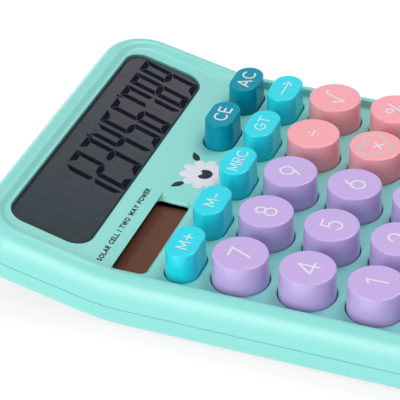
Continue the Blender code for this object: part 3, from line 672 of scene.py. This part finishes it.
def solar_hole():
    """The cell's opening: a share t of the way in, its edge is t (0.35 + 0.65 t) of the slope's depth down, and an
    upright wall follows."""
    middle = sum(SOLAR_X) / 2
    half_x = (SOLAR_X[1] - SOLAR_X[0]) / 2
    share = np.linspace(1, 0, 9)
    slope = np.stack([share, share * (0.35 + 0.65 * share)], -1)
    rings = []
    for inset, depth in ((1.0, 5.0), *slope, (-1.0, -0.35)):
        inset, depth = inset * SOLAR_BEVEL, depth * SOLAR_BEVEL
        outline = rounded(half_x - inset, SOLAR_Y[0] + inset, SOLAR_Y[1] - inset, SOLAR_CORNER - inset)
        rings.append(level(outline + (middle, 0), DECK_TOP - depth))
    return loft(rings)


def stood(solid, x, s):
    return moved(solid, lambda points: standing(points, x, s, 0.0))


def make_upper_case():
    bosses, pilots = [], []
    for x, s in SCREW_PLACES:
        top = DECK_TOP - DECK_WALL / 2 + (BOSS_REACH if s > BEND_START else 0.0)
        bosses.append(stood(prism(circle(BOSS_RADIUS), BOSS_END, top), x, s))
        pilots.append(stood(prism(circle(SCREW_RADIUS + GAP / 2, 32), BOSS_END - MM, BOSS_END + PILOT), x, s))
    mesh = carved(upper_case(), bosses, [*pilots, *key_holes(), *window_holes(), solar_hole()])
    piece("upper_shell", mesh, "mint plastic", slot="case_mint", stands_for=["upper_case"])


def make_lower_case():
    seam = SEAM - SEAM_GAP / 2
    outside = list(quarter(BASE_INSET, BASE, seam - 0.12 * MM, 14))
    inner = (
        (0.12 * MM, seam), (0.9 * MM, seam), (0.9 * MM, SEAM + LIP), (1.7 * MM, SEAM + LIP),
        (2.6 * MM, 5.2 * MM), (5.6 * MM, FLOOR),
    )
    margin = ((BASE_INSET + 1.2 * MM, BASE), (BASE_INSET + 0.3 * MM, BASE))
    shell = loft(list(slab_rings([*margin, *outside, *inner])))
    posts, cuts = [], []
    for x, s in SCREW_PLACES:
        posts.append(stood(prism(circle(POST_RADIUS), (BASE + FLOOR) / 2, POST_TOP), x, s))
        wells = (
            (SCREW_HEAD[0] + GAP, -2 * MM, FLOOR), (SCREW_RADIUS + GAP, FLOOR - 0.5 * MM, POST_TOP),
            (BOSS_RADIUS + GAP, BOSS_END - GAP, POST_TOP + MM),
        )
        cuts += [stood(prism(circle(radius), low, high), x, s) for radius, low, high in wells]
    for x, y in FOOT_PLACES:
        cuts.append(stood(prism(circle(FOOT_RADIUS + GAP, 64), -MM, FOOT_HEIGHT + GAP), x, y))
    half_x, front, rear = BAY_INNER
    floor = FLOOR - BASE
    height = BAY_CEILING + BAY_WALL
    walls = block(half_x + BAY_WALL, front - BAY_WALL, rear + BAY_WALL, floor / 2, height)
    space = block(half_x, front, rear, floor, BAY_CEILING)
    mouth = block(BAY_HALF_X, -BAY_HALF_S, BAY_HALF_S, -1.5 * MM, 2.5 * MM)
    posts.append(moved(walls, in_bay))
    cuts += [moved(space, in_bay), moved(mouth, in_bay)]
    piece("lower_shell", carved(shell, posts, cuts), "mint plastic", slot="case_mint", stands_for=["lower_case"])


# Display


def plate(outline_at, low, high, edge):
    """A plate with small bevels all round: outline_at(inset) at each height."""
    steps = ((edge, low), (0.0, low + edge), (0.0, high - edge), (edge, high))
    return loft([level(outline_at(inset), z) for inset, z in steps])


def bar_outline(bar):
    """The corners of one bar of a digit, mitred where it meets its neighbours, before the digit leans."""
    width, height = DIGIT_SIZE
    t, g, middle = DIGIT_BAR, DIGIT_GAP, DIGIT_SIZE[1] / 2
    top = [(g, height), (width - g, height), (width - t - g, height - t), (t + g, height - t)]
    right = [(width, height - g), (width, middle + g), (width - t, middle + t / 2 + g), (width - t, height - t - g)]
    centre = [(2 * g, middle), (t + g, middle + t / 2), (width - t - g, middle + t / 2), (width - 2 * g, middle),
              (width - t - g, middle - t / 2), (t + g, middle - t / 2)]
    corners = {
        "a": top, "b": right, "g": centre,
        "c": [(x, height - y) for x, y in right], "d": [(x, height - y) for x, y in top],
        "f": [(width - x, y) for x, y in right], "e": [(width - x, height - y) for x, y in right],
    }[bar]
    return np.array(corners)


def softened(corners, radius):
    """A polygon whose corners are cut by short curves: each is a quadratic Bezier from side to side."""
    before, after = np.roll(corners, 1, axis=0), np.roll(corners, -1, axis=0)

    def towards(other):
        step = other - corners
        return corners + step / np.linalg.norm(step, axis=1)[:, None] * radius

    t = np.linspace(0, 1, 5)[:, None, None]
    bends = (1 - t) ** 2 * towards(before) + 2 * t * (1 - t) * corners + t ** 2 * towards(after)
    return bends.transpose(1, 0, 2).reshape(-1, 2)


def film(outline, low, high):
    """A thin flat patch of any outline: a fan of faces from its middle above and below, and a side wall."""
    x, y = outline.T
    if (x * np.roll(y, -1) - y * np.roll(x, -1)).sum() < 0:  # clockwise
        outline = outline[::-1]
    count = len(outline)
    middle = outline.mean(axis=0)
    rings = [level(np.repeat(middle[None], count, 0), high), level(outline, high), level(outline, low),
             level(np.repeat(middle[None], count, 0), low)]
    return np.concatenate(rings), grid(4, count)


def digit_left(place):
    return DIGIT_RIGHT - DIGIT_SIZE[0] - DIGIT_LEAN * DIGIT_SIZE[1] - (len(SHOWN) - 1 - place) * DIGIT_PITCH


def digit_bars(place, bars):
    left = digit_left(place)
    for bar in bars:
        outline = softened(bar_outline(bar), 0.22 * MM)
        outline = outline + np.stack([outline[:, 1] * DIGIT_LEAN, 0 * outline[:, 1]], -1) + (left, DIGIT_LOW)
        yield film(outline, LCD_Z[1] - SINK, LCD_Z[1] + INK)


def tick(place):
    """The small mark that parts the thousands, at the upper left of a digit."""
    corners = np.array([(-0.3, 0.6), (0.75, 0.6), (0.2, -1.6), (-0.15, -1.6)]) * MM
    top = DIGIT_SIZE[1]
    corners = corners + (digit_left(place) + DIGIT_LEAN * top - 1.0 * MM, DIGIT_LOW + top)
    return film(corners, LCD_Z[1] - SINK, LCD_Z[1] + INK)


def displayed(name, solid, finish, **words):
    return piece(name, moved(solid, on_display), finish, **words)


def make_display():
    def window(inset):
        return window_outline(inset + WINDOW_PLAY)

    def glass(inset):
        return window_outline(inset, *LCD_HALF, LCD_CORNER)

    top = -0.1 * MM
    low = top - WINDOW_THICK
    displayed("window", plate(window, low, top, 0.1 * MM), "smoked acrylic", slot="window_smoke",
              stands_for=["display_window"])
    displayed("lcd", plate(glass, *LCD_Z, 0.15 * MM), "lcd glass", slot="lcd_glass", stands_for=["lcd_glass"])
    outer, inner, under = 0.05 * MM, LEDGE + 0.08 * MM, low - 0.03 * MM
    border = [level(window(inset), z) for inset, z in ((outer, under), (outer, low), (inner, low), (inner, under))]
    border = np.concatenate(border), grid(4, len(border[0]), closed=True)
    displayed("window_border", border, "border ink", slot="window_smoke")
    lit = [bar for place, sign in enumerate(SHOWN) for bar in digit_bars(place, BARS[sign])]
    lit += [tick(6), tick(9)]
    unlit = [[bar for bar in "abcdefg" if bar not in BARS[sign]] for sign in SHOWN]
    idle = [bar for place, bars in enumerate(unlit) for bar in digit_bars(place, bars)]
    displayed("lit_bars", joined(lit), "lit bars", slot="lcd_glass")
    displayed("idle_bars", joined(idle), "idle bars", slot="lcd_glass")


# Solar cell


def make_solar_cell():
    """A plate of dark glass with the brown film, parted into strips, inside its black border."""
    middle = sum(SOLAR_X) / 2
    half_x = (SOLAR_X[1] - SOLAR_X[0]) / 2

    def outline(inset):
        return rounded(half_x - inset, SOLAR_Y[0] + inset, SOLAR_Y[1] - inset, 0.3 * MM, 3) + (middle, 0)

    glass = plate(outline, SOLAR_TOP - SOLAR_THICK, SOLAR_TOP - INK, 0.15 * MM)
    piece("solar_plate", glass, "black glass", slot="solar_brown", stands_for=["solar_cell"])
    border, rear_border = 1.25 * MM, 0.5 * MM
    brown = rounded(half_x - border, SOLAR_Y[0] + border, SOLAR_Y[1] - rear_border, 0.3 * MM, 3) + (middle, 0)
    piece("solar_film", film(brown, SOLAR_TOP - 2 * INK, SOLAR_TOP), "solar film", slot="solar_brown")


# Prints on the deck


def deck_print(name, inks, finish):
    """Ink that follows the deck."""
    piece(name, moved(joined(inks), on_deck), finish, slot="case_mint")


def make_prints():
    """A line of words, and a flower whose outline is a circle with a ripple of |cos| in its radius. A leaf is two half
    waves of a sine, one each side of its middle line."""
    strokes = written(WORDS, 1.32 * MM, 0.43, WORDS_CORNER)
    deck_print("deck_words", [pen_stroke(stroke, 0.47 * MM) for stroke in strokes], "dark ink")

    turn = np.linspace(0, 2 * np.pi, 241)[:-1]
    round_it = np.stack([np.cos(turn), np.sin(turn)], -1)
    reach = FLOWER_RADIUS * (0.66 + 0.34 * np.abs(np.cos(turn * PETALS / 2)) ** 0.55)
    deck_print("printed_flower", [film(round_it * reach[:, None] + FLOWER, -SINK, INK)], "white ink")
    deck_print("printed_flower_eye", [film(round_it * FLOWER_EYE_RADIUS + FLOWER, 0, 2 * INK)], "dark ink")

    along = np.linspace(0, 1, 17)
    bulge = 0.2 * np.sin(np.pi * along)
    there, back = np.stack([along, bulge], -1), np.stack([along, -bulge], -1)
    leaf = np.concatenate([there, back[-2:0:-1]])
    leaves = []
    for side in (-1, 1):
        direction = np.array([side * 0.80, 0.60])
        across = np.array([-direction[1], direction[0]])
        outline = (leaf[:, :1] * direction + leaf[:, 1:] * across) * LEAF_LENGTH
        leaves.append(film(FLOWER + direction * LEAF_START + outline, -SINK, INK))
    deck_print("printed_leaves", leaves, "dark ink")


# Fasteners, feet and the battery door


def turned(sections, sides=48):
    """A solid of revolution from (radius, z) pairs."""
    return loft([level(circle(radius, sides), z) for radius, z in sections])


def make_screws():
    """A pan head with a cross recess on a ribbed shank. At turn t the head's edge is ease (1 - sin t) in from its side
    and ease (1 - cos t)^0.5 above its face."""
    head, depth = SCREW_HEAD
    low = FLOOR - GAP - depth
    neck = low + depth
    tip = BOSS_END + PILOT - 1.0 * MM
    ease, ribs, rib, pitch = 0.4 * MM, 15, 0.16 * MM, 0.4 * MM
    turn = np.linspace(0, 1, 9)[:-1] * math.pi / 2
    edge = [(head - ease * (1 - math.sin(t)), low + ease * (1 - math.cos(t)) ** 0.5) for t in turn]
    thread = [(SCREW_RADIUS - (rib if i % 2 else 0.0), neck + 0.5 * MM + i * pitch) for i in range(ribs)]
    sections = [(0.05 * MM, low), *edge, (head, low + 0.42 * MM), (head, neck), (SCREW_RADIUS, neck), *thread,
                (0.5 * MM, tip - 0.3 * MM), (0.05 * MM, tip)]
    half_slot, slot_reach, slot_end = 0.28 * MM, 1.15 * MM, low + 0.75 * MM
    cross = [block(half_slot, -slot_reach, slot_reach, low - MM, slot_end),
             block(slot_reach, -half_slot, half_slot, low - MM, slot_end)]
    screw = carved(turned(sections), [], cross)
    for i, (x, s) in enumerate(SCREW_PLACES, start=1):
        each = reshaped(screw.copy(), lambda points: standing(points, x, s, 0.0))
        piece(f"screw_{i}", each, "plated steel", slot="steel", stands_for=[f"case_screw_{i}"])


def make_feet():
    edge = 0.35 * MM
    turn = np.radians(np.linspace(0, 90, 6))
    rounding = [(FOOT_RADIUS - edge + edge * math.sin(t), edge - edge * math.cos(t)) for t in turn]
    sections = [(0.2 * MM, 0.25 * MM), (1.6 * MM, 0.25 * MM), (1.9 * MM, 0.0), *rounding, (FOOT_RADIUS, FOOT_HEIGHT),
                (0.2 * MM, FOOT_HEIGHT)]
    names = ("front_left", "front_right", "rear_left", "rear_right")
    for name, (x, y) in zip(names, FOOT_PLACES):
        pad = moved(turned(sections, 64), (x, y, 0))
        piece(f"pad_{name}", pad, "foot rubber", slot="rubber_black", stands_for=[f"foot_{name}"])


def make_battery_door():
    """The lid with its edges eased, two hooks, a finger notch and a row of grip grooves."""
    play = 0.2 * MM
    half_x, half_y = BAY_HALF_X - play, BAY_HALF_S - play
    thick = 1.5 * MM

    def outline(inset):
        return rounded(half_x - inset, inset - half_y, half_y - inset, 0.6 * MM - inset / 2, 4)

    hooks = []
    for side in (-5 * MM, 5 * MM):
        for y_low, y_high, z_low, z_high in ((-8.0, -6.8, 1.0, 3.6), (-9.4, -6.8, 2.8, 3.6)):
            hooks.append(moved(block(1.1 * MM, y_low * MM, y_high * MM, z_low * MM, z_high * MM), (side, 0, 0)))
    notch = turned([(3.2 * MM, 0.7 * MM), (3.9 * MM, 0.1 * MM), (4.1 * MM, -MM)])
    cuts = [moved(notch, (0, 7.4 * MM, 0))]
    for i in range(4):
        cuts.append(block(3.6 * MM, (-1.6 + 1.5 * i) * MM, (-1.0 + 1.5 * i) * MM, -MM, 0.35 * MM))
    lid = reshaped(carved(plate(outline, 0.0, thick, 0.2 * MM), hooks, cuts), in_bay)
    piece("battery_lid", lid, "mint plastic", "battery_door", "case_mint", ["battery_door"])


# Materials


def colour(red, green, blue):
    """A linear colour from values of 0 to 255 on a screen."""
    share = np.array((red, green, blue)) / 255
    linear = np.where(share <= 0.04045, share / 12.92, ((share + 0.055) / 1.055) ** 2.4)
    return (*linear.tolist(), 1.0)


def feed(tree, socket, value):
    if isinstance(value, bpy.types.NodeSocket):
        tree.links.new(value, socket)
    else:
        socket.default_value = value


def node(tree, kind, inputs, **settings):
    """A new node's outputs. Its inputs are linked or set by name."""
    made = tree.nodes.new("ShaderNode" + kind)
    for name, value in settings.items():
        setattr(made, name, value)
    for name, value in inputs.items():
        feed(tree, made.inputs[name], value)
    return made.outputs


def calc(tree, operation, *values):
    made = tree.nodes.new("ShaderNodeMath")
    made.operation = operation
    for socket, value in zip(made.inputs, values):
        feed(tree, socket, value)
    return made.outputs[0]


def blended(tree, share, first, second):
    """One colour at share 0 and the other at share 1."""
    made = tree.nodes.new("ShaderNodeMix")
    made.data_type = "RGBA"
    for socket, value in zip([made.inputs[0], made.inputs[6], made.inputs[7]], (share, first, second)):
        feed(tree, socket, value)
    return made.outputs[2]


def toned(tree, tint, factor):
    """A colour times a number."""
    if not isinstance(tint, bpy.types.NodeSocket):
        tint = tint[:3]
    return node(tree, "VectorMath", {0: tint, "Scale": factor}, operation="SCALE")[0]


def object_place(tree):
    return node(tree, "TexCoord", {})["Object"]


def noise(tree, scale, detail=2.0, roughness=0.5):
    inputs = {"Vector": object_place(tree), "Scale": scale, "Detail": detail, "Roughness": roughness}
    return node(tree, "TexNoise", inputs)[0]


def varied(tree, pattern, spread, base, middle=0.5):
    """A number that a pattern of 0 to 1 spreads about base."""
    return calc(tree, "MULTIPLY_ADD", calc(tree, "SUBTRACT", pattern, middle), spread, base)


def new_group(name, inputs, outputs):
    """An empty group, its inner inputs and its inner outputs. Sockets are given as name: kind."""
    tree = bpy.data.node_groups.new(name, "ShaderNodeTree")
    for direction, sockets in (("INPUT", inputs), ("OUTPUT", outputs)):
        for socket, kind in sockets.items():
            tree.interface.new_socket(socket, in_out=direction, socket_type=f"NodeSocket{kind}")
    return tree, tree.nodes.new("NodeGroupInput").outputs, tree.nodes.new("NodeGroupOutput").inputs


def make_groups():
    surface = {"Colour": "Color", "Roughness": "Float", "Height": "Float"}

    tree, given, out = new_group("moulded plastic", {
        "Colour": "Color", "Mottle": "Float", "Grain Scale": "Float", "Grain Depth": "Float",
        "Roughness": "Float", "Roughness Spread": "Float"}, surface)
    tone = varied(tree, noise(tree, 38.0, 3.0), given["Mottle"], 1.0)
    feed(tree, out["Colour"], toned(tree, given["Colour"], tone))
    handled = noise(tree, 170.0, 5.0, 0.6)
    feed(tree, out["Roughness"], varied(tree, handled, given["Roughness Spread"], given["Roughness"]))
    grain = noise(tree, given["Grain Scale"], 3.0, 0.6)
    feed(tree, out["Height"], calc(tree, "MULTIPLY", grain, given["Grain Depth"]))

    tree, given, out = new_group("polished sheet", {
        "Roughness": "Float", "Smudge": "Float", "Waviness": "Float"}, {"Roughness": "Float", "Height": "Float"})
    smudge = noise(tree, 85.0, 4.0, 0.65)
    feed(tree, out["Roughness"], varied(tree, smudge, given["Smudge"], given["Roughness"], 0.45))
    feed(tree, out["Height"], calc(tree, "MULTIPLY", noise(tree, 60.0, 1.0), given["Waviness"]))

    tree, given, out = new_group("printed ink", {
        "Colour": "Color", "Fade": "Float", "Roughness": "Float"}, surface)
    speckle = noise(tree, 2600.0, 2.0)
    tone = varied(tree, noise(tree, 420.0, 3.0), given["Fade"], 1.0)
    feed(tree, out["Colour"], toned(tree, given["Colour"], tone))
    feed(tree, out["Roughness"], calc(tree, "MULTIPLY_ADD", speckle, 0.2, given["Roughness"]))
    feed(tree, out["Height"], calc(tree, "MULTIPLY", speckle, 3e-6))

    tree, given, out = new_group("plated metal", {
        "Colour": "Color", "Tarnish": "Float", "Roughness": "Float"}, surface)
    tarnish = noise(tree, 240.0, 5.0, 0.65)
    tone = varied(tree, tarnish, given["Tarnish"], 1.0)
    feed(tree, out["Colour"], toned(tree, given["Colour"], tone))
    feed(tree, out["Roughness"], calc(tree, "MULTIPLY_ADD", tarnish, 0.25, given["Roughness"]))
    feed(tree, out["Height"], calc(tree, "MULTIPLY", noise(tree, 5200.0, 2.0), 2e-6))

    tree, given, out = new_group("ruled lines", {"Spacing": "Float", "Width": "Float"}, {
        "Across X": "Float", "Across Y": "Float"})
    x, y, _z = node(tree, "SeparateXYZ", {0: object_place(tree)})[:]
    for name, along in (("Across X", x), ("Across Y", y)):
        step = calc(tree, "FRACT", calc(tree, "DIVIDE", along, given["Spacing"]))
        feed(tree, out[name], calc(tree, "LESS_THAN", step, given["Width"]))


def use_group(tree, name, **values):
    made = tree.nodes.new("ShaderNodeGroup")
    made.node_tree = bpy.data.node_groups[name]
    for socket, value in values.items():
        feed(tree, made.inputs[socket.replace("_", " ")], value)
    return made.outputs


def material(name, **plain):
    """A material's nodes and its shader's inputs, with plain values already on the shader's own sockets."""
    made = bpy.data.materials.new(name)
    made.use_nodes = True
    made.use_backface_culling = False
    shader = made.node_tree.nodes["Principled BSDF"].inputs
    for socket, value in plain.items():
        shader[socket.replace("_", " ")].default_value = value
    return made.node_tree, shader


def cover(tree, shader, outputs):
    """Links a group's outputs to the shader, its height through a Bump node."""
    for socket in outputs:
        if socket.name == "Height":
            bump = node(tree, "Bump", {"Height": socket, "Distance": 1.0, "Strength": 1.0})
            feed(tree, shader["Normal"], bump["Normal"])
        else:
            feed(tree, shader["Base Color" if socket.name == "Colour" else socket.name], socket)


KEY_PLASTIC = (0.05, 3800.0, 0.2e-6, 0.17, 0.05)
PLASTICS = {  # name: colour, mottle, grain scale, grain depth, roughness, spread, specular
    "mint plastic": ((121, 198, 191), 0.03, 5200.0, 0.2e-6, 0.38, 0.03, 0.8),
    "lilac plastic": ((181, 158, 210), *KEY_PLASTIC, 0.5),
    "pink plastic": ((227, 152, 162), *KEY_PLASTIC, 0.5),
    "cyan plastic": ((28, 199, 216), *KEY_PLASTIC, 0.4),
    "teal plastic": ((0, 133, 155), *KEY_PLASTIC, 0.16),
    "black plastic": ((26, 28, 30), 0.20, 3000.0, 6e-6, 0.55, 0.15, 0.5),
    "foot rubber": ((38, 40, 42), 0.30, 2400.0, 1.2e-5, 0.80, 0.15, 0.3),
    "silicone": ((196, 197, 190), 0.10, 1800.0, 4e-6, 0.50, 0.20, 0.4),
    "cured resin": ((18, 18, 20), 0.30, 700.0, 2e-5, 0.25, 0.25, 0.5),
    "black glass": ((10, 10, 11), 0.20, 900.0, 1e-6, 0.15, 0.10, 0.15),
    "red insulation": ((176, 30, 28), 0.15, 2600.0, 4e-6, 0.35, 0.15, 0.5),
    "black insulation": ((24, 24, 26), 0.25, 2600.0, 4e-6, 0.35, 0.15, 0.5),
}
INKS = {  # name: colour, fade, roughness, specular
    "white ink": ((206, 204, 212), 0.04, 0.42, 0.4),
    "grey mint ink": ((176, 180, 174), 0.08, 0.42, 0.4),
    "dark ink": ((22, 32, 36), 0.15, 0.42, 0.3),
    "border ink": ((72, 80, 86), 0.10, 0.50, 0.1),
}


def make_materials():
    make_groups()
    for name, (tint, mottle, scale, depth, rough, spread, specular) in PLASTICS.items():
        tree, shader = material(name, Specular_IOR_Level=specular)
        cover(tree, shader, use_group(
            tree, "moulded plastic", Colour=colour(*tint), Mottle=mottle, Grain_Scale=scale, Grain_Depth=depth,
            Roughness=rough, Roughness_Spread=spread))
    for name, (tint, fade, rough, specular) in INKS.items():
        tree, shader = material(name, Specular_IOR_Level=specular)
        cover(tree, shader, use_group(tree, "printed ink", Colour=colour(*tint), Fade=fade, Roughness=rough))
    for name, tint, rough in (("plated steel", (190, 192, 196), 0.18), ("spring brass", (205, 172, 104), 0.22)):
        tree, shader = material(name, Metallic=1.0)
        cover(tree, shader, use_group(tree, "plated metal", Colour=colour(*tint), Tarnish=0.3, Roughness=rough))
    make_display_materials()
    make_board_materials()
    make_floor_material()


def make_display_materials():
    tree, shader = material("smoked acrylic", Specular_IOR_Level=0.16, IOR=1.49, Base_Color=colour(10, 14, 22))
    cover(tree, shader, use_group(tree, "polished sheet", Roughness=0.08, Smudge=0.06, Waviness=2e-6))
    glance = calc(tree, "MULTIPLY_ADD", node(tree, "Fresnel", {"IOR": 1.49})[0], 0.8, 0.26)
    outside = calc(tree, "SUBTRACT", 1.0, node(tree, "NewGeometry", {})["Backfacing"])
    feed(tree, shader["Alpha"], calc(tree, "MULTIPLY", glance, outside))

    tree, shader = material("lcd glass", Specular_IOR_Level=0.1)
    x, y, _z = node(tree, "SeparateXYZ", {0: object_place(tree)})[:]
    along = node(tree, "MapRange", {"Value": x, "From Min": -HALF_WIDTH, "From Max": HALF_WIDTH})[0]
    # The grey lightens towards +x. That lightening is painted reflection, not the glass's own colour.
    tint = blended(tree, along, colour(68, 82, 87), colour(110, 110, 118))
    surface = use_group(tree, "moulded plastic", Colour=tint, Mottle=0.08, Grain_Scale=6000.0, Grain_Depth=1e-6,
                        Roughness=0.5, Roughness_Spread=0.1)
    cover(tree, shader, surface)

    for name, alpha in (("lit bars", 1.0), ("idle bars", 0.03)):
        tree, shader = material(name, Specular_IOR_Level=0.02, Alpha=alpha)
        cover(tree, shader, use_group(tree, "printed ink", Colour=colour(9, 15, 36), Fade=0.2, Roughness=0.5))

    tree, shader = material("solar film", Specular_IOR_Level=0.12)
    lines = use_group(tree, "ruled lines", Spacing=9.9 * MM, Width=0.045)["Across X"]
    tint = blended(tree, calc(tree, "MULTIPLY", lines, 0.15), colour(98, 61, 47), colour(60, 40, 36))
    cloudy = varied(tree, noise(tree, 70.0, 4.0, 0.6), 0.25, 1.0)
    feed(tree, shader["Base Color"], toned(tree, tint, cloudy))
    cover(tree, shader, use_group(tree, "polished sheet", Roughness=0.14, Smudge=0.1, Waviness=1e-5))


def make_board_materials():
    tree, shader = material("solder mask", Specular_IOR_Level=0.5)
    fine = use_group(tree, "ruled lines", Spacing=2.54 * MM, Width=0.2)
    traces = calc(tree, "MAXIMUM", fine["Across X"], fine["Across Y"])
    routed = calc(tree, "GREATER_THAN", noise(tree, 120.0, 0.0), 0.5)
    copper = calc(tree, "MULTIPLY", traces, routed)
    tint = blended(tree, copper, colour(30, 84, 56), colour(52, 122, 78))
    weave = calc(tree, "MULTIPLY_ADD", noise(tree, 900.0, 3.0), 0.3, 0.85)
    feed(tree, shader["Base Color"], toned(tree, tint, weave))
    feed(tree, shader["Roughness"], calc(tree, "MULTIPLY_ADD", copper, -0.1, 0.42))
    feed(tree, shader["Normal"], node(tree, "Bump", {"Height": copper, "Distance": 3e-5})["Normal"])

    for name, film_tint, line_tint, spacing in (
            ("ribbon film", (190, 150, 84), (150, 96, 52), 1.0 * MM),
            ("contact rubber", (206, 176, 176), (30, 30, 32), 0.5 * MM)):
        tree, shader = material(name)
        lines = use_group(tree, "ruled lines", Spacing=spacing, Width=0.5)["Across X"]
        tint = blended(tree, lines, colour(*film_tint), colour(*line_tint))
        feed(tree, shader["Base Color"], toned(tree, tint, calc(tree, "MULTIPLY_ADD", noise(tree, 300.0), 0.2, 0.9)))
        feed(tree, shader["Roughness"], calc(tree, "MULTIPLY_ADD", noise(tree, 200.0, 3.0), 0.2, 0.35))


def make_floor_material():
    tree, shader = material("pale floor", Specular_IOR_Level=0.0, Emission_Strength=1.0)
    ray = node(tree, "LightPath", {})
    glow = blended(tree, ray["Is Diffuse Ray"], FLOOR_GLOW, FLOOR_GLOW_SCATTERED)
    feed(tree, shader["Emission Color"], blended(tree, ray["Is Glossy Ray"], glow, FLOOR_GLOW_MIRRORED))
    feed(tree, shader["Alpha"], calc(tree, "SUBTRACT", 1.0, node(tree, "NewGeometry", {})["Backfacing"]))
    cloud = calc(tree, "MULTIPLY_ADD", noise(tree, 3.0, 2.0), 0.01, 0.995)
    feed(tree, shader["Base Color"], toned(tree, colour(*FLOOR_TINT), cloud))
    feed(tree, shader["Roughness"], calc(tree, "MULTIPLY_ADD", noise(tree, 40.0), 0.1, 0.8))


CARRIED_OVER = {  # finish: the model's own pieces that wear it
    "black plastic": ["lcd_frame"],
    "contact rubber": ["lcd_contact_strip"],
    "ribbon film": ["display_ribbon"],
    "solder mask": ["display_board", "main_board"],
    "silicone": ["keypad_mat"],
    "cured resin": ["controller_chip", "buffer_capacitor"],
    "plated steel": ["battery_cell"],
    "spring brass": ["battery_contact_minus", "battery_contact_plus"],
    "red insulation": ["solar_lead_red", "battery_lead_red"],
    "black insulation": ["solar_lead_black", "battery_lead_black"],
}


def finish_carried_over(nodes):
    for finish, names in CARRIED_OVER.items():
        for name in names:
            for material_slot in nodes[name].material_slots:
                material_slot.material = bpy.data.materials[finish]


# Floor, light and camera

FLOOR_TINT = (146, 172, 171)
FLOOR_GLOW = (0.72, 0.58, 0.585, 1.0)
FLOOR_GLOW_SCATTERED = (0.40, 0.40, 0.40, 1.0)
FLOOR_GLOW_MIRRORED = (1.3, 1.3, 1.3, 1.0)  # the studio table as the glossy plastic shows it
CAMERA_PLACE = Vector((-475.7, -162.1, 369.5)) * MM
CAMERA_TARGET = Vector((-23.6, 19.0, 23.9)) * MM
CAMERA_ROLL = math.radians(-1.29)
CAMERA_LENS = 180.1
LIGHTS = (  # name, place, side, watts, colour; they aim at the middle of the underside
    ("top light", (0.55, -0.30, 1.20), 0.55, 7.6, (1.0, 0.99, 0.98)),
    ("side light", (-1.2, 0.35, 0.45), 0.85, 11.5, (1.0, 1.0, 1.0)),
)
SKY = 0.68  # strength of its white light
FLOOR_HALF = 3.0


def make_floor():
    mesh = bpy.data.meshes.new("floor")
    corners = [(x * FLOOR_HALF, y * FLOOR_HALF, 0) for x, y in ((-1, -1), (1, -1), (1, 1), (-1, 1))]
    mesh.from_pydata(corners, [], [(0, 1, 2, 3)])
    mesh.materials.append(bpy.data.materials["pale floor"])
    floor = bpy.data.objects.new("floor", mesh)
    bpy.context.scene.collection.objects.link(floor)


def aimed(place, target, roll=0.0):
    """A matrix at place that looks at target, turned by roll about its line of sight."""
    turn = (target - place).to_track_quat("-Z", "Y").to_matrix().to_4x4()
    return Matrix.Translation(place) @ turn @ Matrix.Rotation(roll, 4, "Z")


def make_lights():
    world = bpy.data.worlds.new("studio")
    world.use_nodes = True
    background = world.node_tree.nodes["Background"].inputs
    background["Strength"].default_value = SKY
    background["Color"].default_value = (1.0, 1.0, 1.0, 1.0)
    bpy.context.scene.world = world
    for name, place, side, watts, tint in LIGHTS:
        light = bpy.data.lights.new(name, "AREA")
        light.size, light.energy, light.color = side, watts, tint
        obj = bpy.data.objects.new(name, light)
        obj.matrix_world = aimed(Vector(place), Vector())
        bpy.context.scene.collection.objects.link(obj)


def make_camera():
    scene = bpy.context.scene
    camera = bpy.data.cameras.new("camera")
    camera.lens = CAMERA_LENS
    camera.sensor_width = 36.0
    camera.clip_start, camera.clip_end = 0.05, 20.0
    obj = bpy.data.objects.new("camera", camera)
    obj.matrix_world = aimed(CAMERA_PLACE, CAMERA_TARGET, CAMERA_ROLL)
    scene.collection.objects.link(obj)
    scene.camera = obj
    scene.view_settings.view_transform = "Standard"


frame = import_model()
make_materials()
finish_carried_over(frame["nodes"])
make_upper_case()
make_lower_case()
for key in key_places():
    make_key(*key)
make_display()
make_solar_cell()
make_prints()
make_screws()
make_feet()
make_battery_door()
make_floor()
make_lights()
make_camera()
